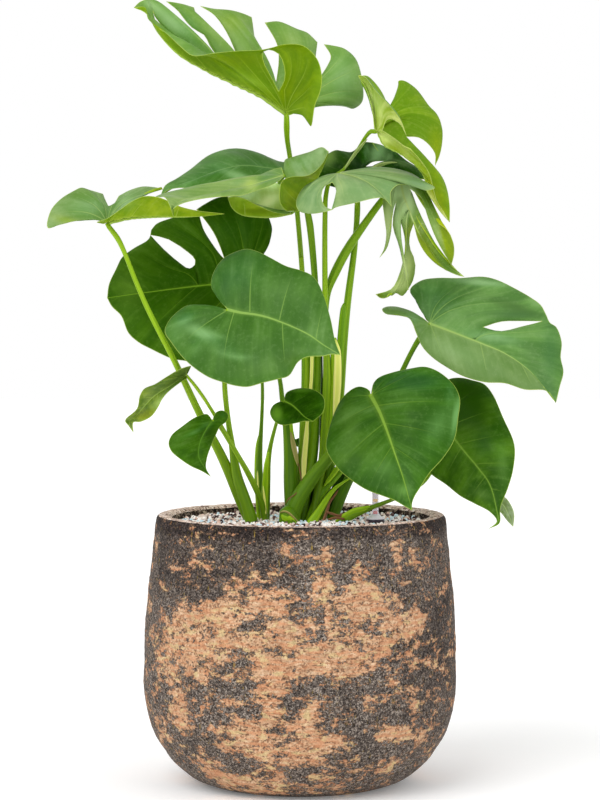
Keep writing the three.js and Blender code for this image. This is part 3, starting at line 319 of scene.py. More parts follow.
        rib=[(62, 644, 46), (67, 659, 52), (82, 669, 58), (100, 673, 62), (118, 669, 66), (135, 655, 68)],
        near=[
            lobe(0, 0, [(65, 642, 44), (74, 644, 40), (83, 649, 40), (89, 653, 42)]),
            hole((75, 662, 50), (87, 664, 48), [(81, 661, 49)], [(81, 665, 51)]),
            lobe(0, 3, [(109, 655, 48), (122, 656, 56), (135, 655, 68)]),
        ],
        far=[
            lobe(0, 0, [(57, 644, 50), (36, 646, 54), (19, 652, 58), (8, 664, 64), (20, 676, 74),
                (38, 687, 84), (46, 686, 88), (56, 685, 92), (69, 695, 94), (78, 695, 94)]),
            hole((71, 669, 66), (92, 675, 80), [(79, 674, 72)], [(83, 670, 72)]),
            lobe(0, 3, [(89, 692, 94), (102, 686, 92), (115, 676, 86), (127, 668, 78), (135, 655, 68)]),
        ],
        painted_light_and_shade=[(84, 684, 9, 14, -25, 0.85, -0.7), (71, 686, 3, 10, -10, 0.5, -0.5),
            (97, 680, 4, 9, -40, 0.35, -0.3), (30, 680, 10, 12, -20, 0.8, 0.9),
            (51, 672, 5, 9, -20, 0.2, 0.6), (111, 673, 13, 4, -20, 0.5, 0.2),
            (61, 673, 7, 15, -20, -0.6, 0), (113, 682, 11, 7, -20, -0.4, 0), (72, 666, 11, 4, 0, -0.4, 0)],
    ),
    "drooping": dict(
        steps=6,
        rib=[(108, 657, 14), (112, 638, 6), (118, 622, 0), (124, 607, -4), (135, 586, -8), (153, 565, -8),
            (178, 550, -6)],
        near=[
            lobe(0, 1, [(101, 650, 12), (90, 635, 6), (91, 615, 0), (93, 596, -4), (90, 579, -6),
                (86, 570, -6)]),
            split((104, 631, 4), [(99, 615, -2), (99, 599, -4), (95, 582, -6)],
                [(100, 606, -6), (106, 583, -12), (111, 560, -16)]),
            lobe(1, 2, [(116, 535, -18), (118, 536, -18)]),
            split((109, 610, -2), [(110, 590, -8), (114, 571, -13), (118, 550, -17)],
                [(113, 590, 0), (112, 573, 2), (106, 549, 1), (99, 537, -2)]),
            lobe(2, 3, [(82, 531, -7), (87, 527, -6), (93, 527, -5), (96, 531, -3), (100, 529, -1),
                (104, 532, 1), (111, 529, 5), (115, 532, 8)]),
            split((123, 607, -3), [(119, 595, 2), (119, 582, 4), (125, 566, 8), (123, 547, 10)],
                [(128, 589, -10), (136, 575, -14), (147, 564, -14)]),
            lobe(3, 6, [(158, 557, -12), (167, 553, -9), (173, 551, -7), (178, 550, -6)]),
        ],
        far=[
            lobe(0, 2, [(114, 655, 14), (122, 645, 12), (128, 635, 8), (135, 624, 4), (145, 611, 0),
                (159, 600, -4), (166, 587, -6), (167, 575, -8), (164, 562, -8)]),
            split((119, 645, 8), [(132, 634, 5), (136, 621, 1), (143, 601, -3), (151, 584, -7)],
                [(123, 626, 3), (127, 612, -1), (135, 599, -4), (149, 578, -6)]),
            lobe(2, 6, [(165, 561, -6), (170, 557, -6), (173, 553, -6), (176, 551, -6), (178, 550, -6)]),
        ],
        painted_light_and_shade=[(106, 606, 4, 37, 7, 0.4, -0.7), (116, 627, 9, 24, 0, 0.9, -0.6),
            (94, 607, 8, 28, -5, 0.9, 0.1), (107, 645, 13, 9, 0, 0.9, -0.4),
            (116, 562, 8, 20, -8, 0.7, 0.5), (135, 577, 6, 28, 35, 0.2, 2), (162, 588, 7, 22, 15, 0.1, 2),
            (122, 599, 3, 24, 12, -0.5, 0.2), (149, 597, 5, 22, 25, 0.4, -0.2),
            (102, 540, 13, 8, 0, 0.7, 0.4), (84, 529, 4, 3, 0, -1.2, 1.2), (131, 628, 5, 15, 35, 0.2, -0.3),
            (159, 562, 13, 3, -42, -0.5, -0.3), (131, 595, 4, 17, 30, -0.6, 0.2)],
    ),
    "left_back": dict(
        steps=6,
        lean=dict(depth=44, per_x=0.07, per_z=0.5),
        rib=[(-65, 544), (-99, 541), (-134, 537), (-172, 532), (-209, 527)],
        near=[lobe(0, 6, [(-61, 537), (-52, 523), (-54, 501), (-65, 479), (-85, 463), (-109, 456),
            (-125, 459), (-138, 461), (-162, 472), (-175, 479), (-186, 489), (-194, 508), (-204, 518),
            (-209, 527)])],
        far=[
            lobe(0, 1, [(-59, 549), (-46, 562), (-47, 578), (-43, 584), (-34, 590), (-29, 600), (-32, 612),
                (-40, 626), (-54, 635), (-72, 637), (-89, 636), (-103, 629), (-112, 623)]),
            split((-82, 570), [(-88, 586), (-95, 600)], [(-94, 585), (-104, 600)]),
            lobe(1, 2, [(-109, 617), (-124, 618), (-139, 614), (-155, 608), (-161, 601)]),
            hole((-114, 563), (-162, 595), [(-114, 569), (-122, 577), (-144, 591)],
                [(-120, 559), (-130, 565), (-149, 581)]),
            lobe(2, 6, [(-164, 591), (-181, 581), (-193, 572), (-200, 558), (-207, 542), (-209, 527)]),
        ],
        painted_light_and_shade=[(-187, 536, 20, 33, 10, 0.35, 0.1), (-103, 590, 37, 13, 0, -0.2, 0),
            (-57, 599, 20, 28, 0, -0.4, -0.1), (-109, 512, 26, 20, 0, -0.5, 0.1),
            (-139, 476, 28, 7, -25, 0.25, 0), (-147, 552, 15, 9, 0, -0.1, 0)],
        veins=[(-139, 614), (-82, 629), (-41, 625), (-181, 581), (-52, 501), (-85, 463), (-138, 461),
            (-175, 479)],
    ),
    "front": dict(
        steps=11,
        lean=dict(depth=-60, per_x=-0.388, per_z=0.639),
        rib=[(-78, 514), (-65, 511), (-44, 508), (-24, 502), (8, 488), (27, 475), (44, 465)],
        near=[lobe(0, 11, [(-85, 513), (-96, 518), (-109, 521), (-122, 520), (-133, 513), (-143, 502),
            (-147, 491), (-140, 479), (-124, 459), (-101, 442), (-85, 436), (-70, 432), (-57, 431),
            (-41, 435), (-24, 439), (-12, 443), (-2, 458), (7, 463), (25, 464), (35, 466), (44, 465)])],
        far=[lobe(0, 11, [(-81, 518), (-88, 525), (-96, 536), (-97, 547), (-91, 562), (-82, 572),
            (-70, 578), (-58, 581), (-46, 578), (-32, 571), (-15, 562), (2, 557), (15, 550), (25, 532),
            (33, 505), (38, 481), (44, 465)])],
        painted_light_and_shade=[(-124, 505, 10, 5, 30, 0.6, -0.6), (-115, 480, 7, 4, 0, -0.6, -0.2),
            (-70, 551, 22, 17, 0, -0.3, -0.5), (-102, 487, 24, 7, -25, 0.9, -0.6),
            (-73, 466, 20, 4, -15, 0.6, -0.4), (-113, 473, 7, 11, -20, 0.35, -0.2),
            (-127, 508, 10, 8, 0, -0.5, -0.3), (-88, 478, 16, 4, -25, -0.6, 0),
            (-60, 571, 26, 9, -10, -0.4, -0.3), (-83, 541, 8, 20, 0, -0.35, -0.2),
            (-16, 536, 28, 15, -30, 0.2, 0), (-41, 451, 35, 10, 10, 0.2, 0.1),
            (13, 487, 17, 13, -30, 0.25, 0), (-54, 525, 15, 9, 0, -0.25, 0), (-9, 460, 11, 9, 0, -0.2, 0.2),
            (-135, 489, 9, 13, 0, 0.25, -0.2)],
        veins=[(-45, 582), (-5, 560), (28, 525), (-133, 471), (-86, 435), (-15, 441)],
    ),
    "right": dict(
        steps=6,
        lean=dict(depth=10, per_x=-0.18, per_z=0.62),
        rib=[(141, 499), (165, 490), (201, 476), (222, 467), (249, 448), (278, 413)],
        near=[lobe(0, 6, [(137, 502), (128, 508, 4), (118, 514, 4), (106, 518, 3), (94, 518, 2),
            (89, 515, -3), (93, 510, -7), (108, 508, -8), (118, 505, -7), (122, 499, -4), (125, 491),
            (132, 475), (143, 463), (159, 452), (178, 442), (201, 436), (222, 435), (244, 428), (268, 426),
            (278, 413)])],
        far=[
            lobe(0, 2, [(137, 503), (128, 520), (119, 536), (131, 546), (149, 549), (173, 549), (198, 551),
                (213, 548), (236, 537), (251, 528), (261, 520), (267, 509)]),
            hole((199, 495), (262, 502), [(218, 501), (239, 502)], [(218, 491), (242, 497)]),
            lobe(2, 6, [(271, 501), (278, 496), (284, 479), (283, 463), (286, 447), (282, 431),
                (278, 413)]),
        ],
        painted_light_and_shade=[(235, 509, 26, 4, 0, -0.9, -0.2), (202, 484, 28, 7, -8, 0.35, -0.4),
            (150, 527, 20, 15, 0, -0.35, -0.4), (194, 544, 33, 4, -5, 0.7, -0.6),
            (231, 518, 30, 5, -18, -0.7, 0.1), (256, 522, 11, 9, -30, 0.4, -0.1),
            (174, 468, 37, 11, -20, 0.25, -0.2), (272, 468, 10, 30, 0, -0.5, -0.5),
            (122, 505, 9, 7, 0, 0.3, -0.6), (218, 484, 24, 5, -10, 0.2, -0.2),
            (136, 538, 11, 7, 0, 0.2, -0.3), (267, 425, 9, 9, 0, -0.4, -0.2)],
        veins=[(175, 549), (214, 547), (251, 527), (281, 492), (160, 452), (207, 436), (256, 427)],
    ),
    "low_front": dict(
        steps=9,
        lean=dict(depth=-34, per_x=-0.15, per_z=0.55),
        rib=[(77, 421), (86, 404), (94, 384), (102, 361), (112, 332), (122, 296)],
        near=[lobe(0, 9, [(76, 426), (72, 429), (64, 431), (56, 428), (45, 418), (36, 401), (30, 382),
            (28, 364), (40, 343), (56, 329), (72, 319), (88, 313), (103, 307), (113, 301), (122, 296)])],
        far=[lobe(0, 9, [(79, 425), (79, 433), (85, 441), (100, 447), (119, 451), (135, 453), (148, 449),
            (162, 439), (170, 429), (174, 417), (172, 398), (168, 374), (156, 354), (141, 337), (132, 323),
            (125, 312), (122, 304), (122, 296)])],
        painted_light_and_shade=[(170, 400, 4, 26, -10, 0.7, -0.6), (135, 436, 24, 9, 0, -0.3, -0.5),
            (72, 362, 22, 20, 0, 0.1, 0.15), (150, 389, 13, 26, -30, 0.4, -0.3),
            (94, 342, 24, 13, 0, 0.35, -0.1), (114, 438, 28, 9, 0, -0.4, -0.6),
            (54, 389, 13, 28, 0, 0.3, 0.15), (113, 318, 13, 9, 0, 0.45, 0), (85, 403, 8, 22, 20, -0.3, 0),
            (163, 424, 4, 13, 0, 0.3, -0.5), (120, 373, 11, 26, -20, -0.15, 0),
            (44, 351, 11, 11, 0, 0.2, 0.2)],
        veins=[(100, 447), (139, 452), (173, 414), (168, 374), (141, 337), (45, 418), (30, 382), (40, 343),
            (72, 319)],
    ),
    "low_back": dict(
        steps=7,
        lean=dict(depth=40, per_x=-0.12, per_z=0.42),
        rib=[(150, 397), (164, 379), (178, 361), (193, 343), (206, 325), (214, 296), (215, 283),
            (205, 276)],
        near=[lobe(0, 7, [(145, 394), (135, 386), (128, 370), (131, 353), (141, 337), (159, 324),
            (174, 312), (189, 304), (207, 294), (214, 284), (205, 276)])],
        far=[lobe(0, 7, [(150, 403), (150, 416), (152, 429), (161, 439), (174, 441), (188, 438), (200, 434),
            (210, 422), (221, 397), (233, 368), (232, 342), (226, 320), (218, 299), (217, 282),
            (205, 276)])],
        painted_light_and_shade=[(200, 368, 13, 15, 0, -0.45, -0.4), (180, 418, 20, 33, 10, -1.1, 0.1),
            (220, 349, 8, 33, 5, 0.35, -0.2), (198, 314, 15, 7, -20, 0.35, 0),
            (165, 342, 15, 11, 0, -0.3, 0), (201, 389, 9, 22, 20, -0.2, 0)],
    ),
    "low_small": dict(
        steps=3,
        lean=dict(depth=66, per_x=0, per_z=0.3),
        rib=[(214, 307), (221, 302), (226, 293), (232, 278)],
        near=[lobe(0, 3, [(212, 306), (212, 301), (219, 293), (226, 284), (232, 278)])],
        far=[lobe(0, 3, [(217, 310), (222, 311), (229, 303), (233, 292), (232, 278)])],
        painted_light_and_shade=[(222, 303, 5, 7, 0, -0.7, 0.2)],
    ),
    "small_round": dict(
        steps=5,
        lean=dict(depth=-36, per_x=-0.35, per_z=0.5),
        rib=[(-17, 415), (-9, 411), (-1, 404), (5, 398), (14, 393)],
        near=[lobe(0, 5, [(-21, 415), (-29, 411), (-33, 403), (-28, 393), (-19, 389), (-5, 391), (4, 393),
            (14, 393)])],
        far=[lobe(0, 5, [(-17, 418), (-15, 424), (-8, 428), (3, 430), (16, 428), (25, 421), (27, 412),
            (24, 402), (14, 393)])],
        painted_light_and_shade=[(-25, 402, 7, 9, 0, 1, 0.1), (0, 427, 17, 3, 0, 0.5, 0.1), (-4, 403, 15, 8, -20, -0.4, 0)],
    ),
    "small_left": dict(
        steps=6,
        lean=dict(depth=-50, per_x=0.12, per_z=0.45),
        rib=[(-95, 394), (-102, 384), (-109, 369), (-110, 354), (-103, 342), (-97, 333)],
        near=[lobe(0, 6, [(-97, 397), (-101, 401), (-113, 398), (-126, 390), (-139, 380), (-143, 370),
            (-140, 361), (-130, 352), (-118, 344), (-107, 339), (-97, 333)])],
        far=[lobe(0, 6, [(-94, 398), (-91, 403), (-84, 405), (-78, 401), (-79, 394), (-87, 387), (-91, 379),
            (-97, 365), (-101, 353), (-102, 342), (-97, 333)])],
        painted_light_and_shade=[(-100, 381, 9, 7, 0, -0.9, 0.1), (-113, 382, 15, 3, 25, 0.6, -0.5),
            (-102, 390, 8, 4, 0, 0.35, -0.3), (-128, 360, 11, 13, 0, 0.1, -0.1),
            (-109, 356, 9, 15, 0, 0.15, 0), (-84, 401, 4, 4, 0, 0.2, -0.4),
            (-122, 373, 11, 5, 30, -0.3, 0)],
    ),
    "small_folded": dict(
        steps=6,
        rib=[(-123, 443, -38), (-141, 431, -42), (-157, 421, -46), (-169, 409, -48), (-178, 398, -50),
            (-185, 393, -51), (-181, 381, -56)],
        near=[lobe(0, 6, [(-122, 440, -42), (-131, 435, -50), (-144, 425, -58), (-151, 417, -64),
            (-155, 409, -66), (-162, 399, -66), (-173, 393, -62), (-181, 392, -58), (-181, 381, -56)])],
        far=[lobe(0, 6, [(-122, 447, -38), (-118, 453, -41), (-130, 450, -41), (-144, 442, -40),
            (-157, 434, -38), (-169, 429, -38), (-174, 421, -40), (-177, 407, -44), (-190, 394, -50),
            (-186, 388, -52), (-181, 381, -56)])],
        painted_light_and_shade=[(-126, 441, 28, 5, 36, -1.3, 0), (-152, 414, 13, 7, 35, 0.5, -0.3),
            (-169, 401, 11, 5, 10, -0.3, 1), (-139, 427, 11, 3, 38, 0.4, -0.5),
            (-163, 421, 7, 9, -30, -0.2, 0.1)],
    ),
    "tiny": dict(
        steps=2,
        lean=dict(depth=34, per_x=0, per_z=0.3),
        rib=[(-1, 365), (-3, 369), (-4, 374)],
        near=[lobe(0, 2, [(0, 366), (2, 370), (0, 375), (-4, 374)])],
        far=[lobe(0, 2, [(-2, 365), (-7, 368), (-8, 373), (-4, 374)])],
    ),
}

# The stalks of each shoot, from the blade to the foot, as (x, z, depth, radius) points.
STALKS = {
    "left": {
        "far_left": [(-208.8, 606.9, -11.7, 2.6), (-196, 589, -14, 2.5), (-178, 545, -22, 2.7),
            (-165, 515, -26, 2.9), (-136, 458, -27, 3.4), (-109, 401, -22, 4.2), (-83, 350, -10, 5.6),
            (-65, 307, -2, 6.2), (-54, 282, 1, 7)],
        "front": [(-78.4, 513.5, -58.2, 2.4), (-79, 481, -46, 2.6), (-82, 436, -32, 2.9),
            (-78, 393, -21, 3.1), (-74, 367, -15, 3.7), (-69, 335, -11, 5.8), (-59, 304, -9, 6.8),
            (-53, 282, -8, 7.6)],
    },
    "small": {
        "small_folded": [(-123, 442.3, -37.6, 1.6), (-118, 437, -36, 1.7), (-106, 421, -34, 1.8),
            (-94, 402, -31, 2), (-85, 387, -29, 2.2), (-70, 360, -26, 2.8), (-53, 330, -20, 3.2),
            (-42, 304, -4, 3.6), (-38, 282, 6, 4)],
        "small_left": [(-94.3, 394, -49.3, 1.6), (-88, 388, -43, 1.7), (-76, 369, -35, 1.9),
            (-61, 343, -27, 2.2), (-48, 318, -14, 2.8), (-40, 299, -2, 3.3), (-38, 282, 6, 3.6)],
        "left_back": [(-64.8, 542.4, 45, 1.9), (-57, 514, 52, 1.9), (-46, 476, 48, 1.9),
            (-41, 434, 38, 1.9), (-42, 389, 30, 2.2), (-44, 362, 26, 3.4), (-44, 331, 23, 4),
            (-38, 282, 20, 5)],
        "small_round": [(-17.4, 414.7, -35.3, 1.6), (-22, 403, -31, 1.7), (-26, 390, -28, 1.8),
            (-32, 367, -20, 2.4), (-35, 349, -12, 3.4), (-36, 329, -2, 4), (-37, 305, 8, 4.6),
            (-38, 282, 14, 5)],
    },
    "centre": {
        "upper_back": [(-17.4, 663.8, 72.3, 2.2), (-22, 651, 80, 2.3), (-35, 627, 86, 2.4),
            (-48, 596, 92, 2.6), (-50, 571, 92, 2.6), (-46, 525, 84, 2.6), (-33, 476, 60, 2.6),
            (-22, 438, 28, 2.6), (-19, 414, 20, 3), (-14, 388, 14, 5.6), (-11, 360, 12, 7.8),
            (-10, 325, 10, 8.8), (-8, 282, 8, 9)],
        "upper_left": [(-17.4, 658.5, -7.3, 1.8), (-21, 654, 12, 1.8), (-23, 651, 40, 1.9),
            (-30, 637, 74, 1.8), (-36, 624, 86, 1.2)],
        "top": [(-14.7, 725.8, 0, 2.8), (-14, 700, 26, 2.8), (-11, 679, 54, 2.8), (-6, 644, 59, 2.8),
            (-3, 618, 56, 2.9), (2, 558, 44, 3), (5, 503, 38, 3.2), (7, 438, 30, 3.4), (3, 384, 24, 3.4),
            (0, 340, 18, 4), (-2, 282, 12, 5)],
        "upper_middle": [(-2.7, 620.6, 5.4, 2.2), (2, 625, 17, 2.6), (7, 622, 22, 3.2), (10, 610, 24, 3.8),
            (12, 595, 26, 3.8), (16, 549, 34, 3.5), (19, 492, 34, 3.5), (19, 438, 30, 4.2),
            (17, 394, 26, 5), (14, 355, 20, 5.4), (7, 318, 12, 5.6), (2, 282, 8, 5.6)],
        "upper_low": [(-8.1, 619, 0.9, 2), (-5, 624, 10, 2), (-3, 621, 18, 2.1), (-2, 608, 26, 2.1),
            (-1, 595, 34, 2), (1, 571, 44, 1.4)],
        "low_front": [(77.3, 420.2, -33, 3), (67, 405, -18, 4), (48, 377, -10, 5.6), (30, 353, -6, 6.6),
            (13, 332, -6, 8), (0, 312, -8, 9), (-8, 294, -8, 9.6), (-10, 282, -8, 9.6)],
        "bud": [(-18.5, 298.1, -21, 5), (-15, 294, -20, 8.4), (-13, 289, -18, 9.4), (-12, 282, -16, 9.6)],
        "tiny": [(-1.1, 364.6, 34, 1.2), (0, 357, 31, 1.2), (1, 348, 19, 1.3)],
    },
    "tall": {
        "top_right": [(83, 706.4, 1, 2.6), (77, 707, 8, 2.2), (71, 701, 18, 1.7), (60, 684, 34, 1.5),
            (47, 666, 38, 1.6), (33, 655, 36, 2.2), (28, 638, 29, 2.7), (27, 616, 26, 2.9),
            (27, 534, 24, 3.2), (28, 481, 24, 3.4), (29, 438, 24, 4.6), (27, 384, 20, 4.8),
            (23, 340, 12, 4.8), (14, 282, 3, 4.8)],
        "drooping": [(107.7, 656, 15.3, 2.2), (100, 644, 22, 2.8), (90, 634, 26, 3.6), (69, 606, 28, 4.4),
            (52, 581, 30, 5.2), (39, 557, 34, 5.4), (30, 534, 36, 4), (27, 505, 36, 3.6),
            (28, 476, 33, 3.6), (32, 438, 30, 4), (32, 384, 24, 4.6), (26, 340, 19, 5), (19, 282, 15, 5)],
        "upper_right_back": [(62, 643.5, 46, 2.4), (62, 621, 44, 2.9), (59, 583, 42, 3.5),
            (51, 520, 36, 4.3), (47, 475, 32, 4.5), (44, 427, 28, 4.5), (39, 373, 22, 4.6),
            (30, 329, 14, 5), (23, 282, 8, 5)],
        "upper_front": [(41.7, 661.7, 14.3, 2), (48, 655, 22, 2.1), (56, 644, 32, 2), (62, 625, 44, 1.4)],
    },
    "right": {
        "right": [(141.1, 498.5, 10.7, 2.6), (127, 479, 24, 2.8), (111, 448, 34, 3), (93, 405, 40, 3.4),
            (69, 360, 38, 4.6), (51, 327, 32, 6.2), (40, 302, 27, 7), (33, 282, 25, 7)],
    },
    "low": {
        "low_back": [(149.6, 396, 41, 2.2), (152, 373, 48, 2.2), (147, 349, 49, 2.3), (136, 329, 40, 2.3),
            (121, 318, 26, 2.2), (103, 309, 6, 2.1), (77, 299, -9, 2.7), (54, 289, -7, 4.2),
            (39, 279, -1, 4)],
        "low_small": [(213.9, 307.4, 66.5, 1.4), (192, 320, 62, 1.5), (170, 340, 56, 1.6),
            (153, 355, 48, 1.2)],
    },
}

# How much lighter or darker a stalk is than the skin they share.
STALK_TONES = {
    "far_left": 0.15, "front": 0.05, "upper_back": -0.45, "top": 0.2, "upper_middle": -0.35,
    "upper_low": -0.2, "low_front": -0.3, "bud": -0.3, "top_right": 0.1, "drooping": -0.2,
    "upper_right_back": -0.15, "left_back": -0.3, "small_round": -0.1, "right": -0.55, "low_back": 0.3,
    "small_left": 0.1, "small_folded": 0.25,
}

# Sheaths, husks, scars, roots and strips of painted shadow: shoot, finish, half thickness,
# (x, z, depth, half width).
STRIPS = [
    ("centre", "deep", 1.2, [(23.3, 468.4, 42, 1.2), (23.3, 416.2, 42, 1.8), (23.1, 372.6, 38, 2),
        (22.2, 342.2, 34, 2.2), (19.6, 318.2, 30, 2.4)]),
    ("centre", "fresh", 1.6, [(14.8, 472.8, 30, 1.2), (14.6, 457.5, 29, 2.2), (14.1, 432.5, 29, 2.6),
        (12.6, 403.1, 27, 3), (10.9, 377, 24, 3.2), (9.4, 350.9, 20, 3), (8.1, 320.4, 16, 2.4)]),
    ("centre", "deep", 1.6, [(8.2, 293.2, 16, 4), (12.6, 309.5, 16, 4.6), (18.5, 324.8, 18, 4.4),
        (25, 340, 20, 3)]),
    ("right", "deep", 2, [(23.9, 292.1, 22, 4), (32.6, 306.3, 26, 5.6), (41.4, 320.4, 29, 6.4),
        (50.1, 333.5, 33, 6), (56.6, 342.2, 36, 4)]),
    ("tall", "pale", 1, [(72.5, 698.6, 14, 0.5), (67.5, 692.6, 20, 1.5), (60.3, 683.9, 29, 1.9),
        (53.8, 674.8, 33, 1.6), (48.3, 666.5, 33.5, 0.6)]),
    ("centre", "cream", 0.8, [(13.1, 472.8, 28, 0.9), (13, 461.9, 27, 1.9), (11.9, 432.5, 25, 1.8),
        (7.8, 392.2, 21, 1.8), (6.7, 375.9, 19, 2.8), (4.4, 349.8, 14, 3.1), (3.9, 333.5, 11.5, 2.2),
        (2.4, 323.7, 10, 0.6)]),
    ("centre", "fresh", 3.4, [(6.7, 479.3, 35, 4.4), (6.7, 459.7, 33, 5.2), (6.3, 432.5, 30, 5),
        (3.9, 394.4, 26, 4.4), (2.2, 367.2, 22, 3.6)]),
    ("tall", "bright", 2.2, [(36.8, 483.7, 29, 2.4), (38.5, 468.4, 27, 5.6), (38.7, 437.9, 25, 5.7),
        (36.1, 398.8, 21, 5), (32.6, 366.1, 18, 3.6)]),
    ("tall", "cream", 1.2, [(39, 481.5, 25, 0.8), (40.7, 468.4, 22, 3.6), (40.5, 435.8, 20, 4.4),
        (38.7, 405.3, 17, 3.2), (36.6, 381.4, 16, 0.9)]),
    ("tall", "pale", 0.9, [(71.8, 664.1, 48, 0.5), (78.4, 667.1, 50, 1.7), (87.1, 670.4, 53, 2.5),
        (97.9, 671.7, 57, 2.7), (106.7, 671.1, 60, 2.2), (113.2, 668, 63, 0.5)]),
    ("tall", "fresh", 2.4, [(48.1, 521.2, 32, 1.2), (47.2, 515.2, 31, 3.4), (45.9, 501.1, 30, 3.9),
        (44, 476, 28, 4.2), (42, 446.7, 26, 3.6)]),
    ("centre", "bright", 1, [(-10.2, 395.5, 9.6, 0.7), (-9.6, 389, 8.8, 1.9), (-8.7, 377, 8, 1.9),
        (-5.9, 363.9, 7.4, 1.1), (-3.9, 354.1, 7.6, 0.5)]),
    ("centre", "dry", 0.9, [(-10, 381.4, 7.4, 0.7), (-8.5, 373.7, 6, 2.1), (-6.6, 365, 5, 2.9),
        (-4.4, 355.2, 5, 2.6), (-2.2, 344.4, 6.6, 0.7)]),
    ("centre", "brown", 0.55, [(-1.5, 347.6, 4, 0.4), (-0.3, 340, -2, 0.6), (1.3, 331.7, -6, 0.6),
        (2.2, 325.4, -9, 0.7), (0, 320.3, -12, 0.7), (-5, 314, -15, 0.6), (-12.3, 308.8, -14, 0.6),
        (-15.9, 303.6, -13, 0.4)]),
    ("centre", "cream", 0.7, [(13.5, 337.2, -8, 0.4), (17.4, 341.3, -8, 1), (22.3, 346, -8, 1.1),
        (30.9, 353.3, -8.5, 0.9)]),
    ("centre", "dry", 0.9, [(-21.3, 293.9, -25.2, 0.6), (-17.8, 295.2, -27.6, 1.1),
        (-13.1, 293.9, -28.4, 1.2), (-7.6, 289.1, -26.8, 1.2), (-3.5, 284.4, -22, 1.3),
        (-0.4, 279.1, -18, 1.4)]),
    ("centre", "bright", 3.6, [(-20, 291, -22, 1.5), (-17, 289.7, -24, 4.6), (-13.1, 286.7, -24.4, 6.2),
        (-9.1, 282.3, -22, 6), (-6.5, 276.9, -20, 3)]),
    ("centre", "bright", 2.4, [(8.3, 274.7, -9, 5), (12.5, 282.3, -8, 5.4), (20.1, 294.3, -5, 4.2),
        (29.4, 309, 0, 3), (38.1, 320, 5, 2.1), (50.1, 328.6, 11, 1.1), (56.6, 332.4, 13, 0.5)]),
    ("centre", "fresh", 3.2, [(6.5, 276.9, 3, 4), (11.4, 289.9, 4, 4.4), (18.9, 307.4, 6, 4.6),
        (28.3, 321, 9, 4.4), (37, 330.7, 13, 4), (44.6, 338.9, 17, 3.2)]),
    ("centre", "bright", 1.6, [(26.1, 322.6, 4.5, 0.8), (31.6, 329.7, 6, 2.4), (37.5, 337.8, 8.5, 3),
        (42.4, 344.9, 11, 2.4)]),
    ("centre", "brown", 0.8, [(41.4, 318.2, 7, 0.4), (39.2, 314.5, 5, 0.9), (32.6, 305.2, 1, 1.2),
        (28.9, 294.3, -3, 1.7), (23.5, 279.1, -6, 1.6)]),
    ("right", "brown", 1.3, [(28.3, 294.7, -8, 1), (34.8, 292.5, -9, 1.4), (42.4, 290.2, -9, 1.5),
        (51.2, 292.5, -5, 1.2)]),
    ("right", "brown", 1.3, [(30.5, 286, -14, 1.1), (38.1, 288, -13, 1.4), (47.9, 286.7, -10, 1.2)]),
    ("low", "bright", 1.9, [(35.9, 279.1, -3, 2), (41.9, 284.1, -5.5, 3.2), (50.1, 289.5, -8.5, 4.4),
        (59.9, 294.7, -10.5, 4.3), (68.6, 297.8, -12, 3), (76.2, 300.6, -12, 1)]),
    ("small", "cream", 0.6, [(-40, 322.6, -9, 0.3), (-39.6, 317.1, -8, 0.9), (-38.7, 308.4, -5.6, 1.3),
        (-37.7, 297.6, -3, 1), (-37, 292.1, -2, 0.4)]),
    ("small", "cream", 0.6, [(-45.9, 341.1, 21, 0.3), (-45.7, 333.5, 20, 1.3), (-45.1, 322.6, 19, 1.4),
        (-43.5, 310.6, 18.6, 0.5)]),
    ("small", "bright", 1.9, [(-45.3, 377, 29, 0.4), (-46.4, 366.1, 27, 1.9), (-46.9, 348.7, 25, 2.6),
        (-46.8, 329.1, 23.6, 2.8), (-45.3, 304.1, 22.4, 3), (-43.5, 279.1, 21, 3)]),
    ("small", "bright", 1.9, [(-32.4, 364.5, -20, 0.5), (-34.8, 356.3, -18, 1.6),
        (-36.6, 345.4, -14.6, 2.6), (-37.7, 329.1, -6, 3.3), (-38.7, 307.4, 2, 3.9),
        (-39.6, 279.1, 9, 4.6)]),
]


# Curves and plain meshes


def place(point, lean=None):
    """Places a measured point in space. A lean adds the depth of its sloping plane."""
    x, z, depth = point[0], point[1], point[2] if len(point) > 2 else 0
    if lean:
        x0, z0 = lean["from_point"]
        depth += lean["depth"] + lean["per_x"] * (x - x0) + lean["per_z"] * (z - z0)
    scale = (EYE_DISTANCE + depth) / EYE_DISTANCE
    return np.array([x * scale, depth, EYE_HEIGHT + (z - EYE_HEIGHT) * scale])


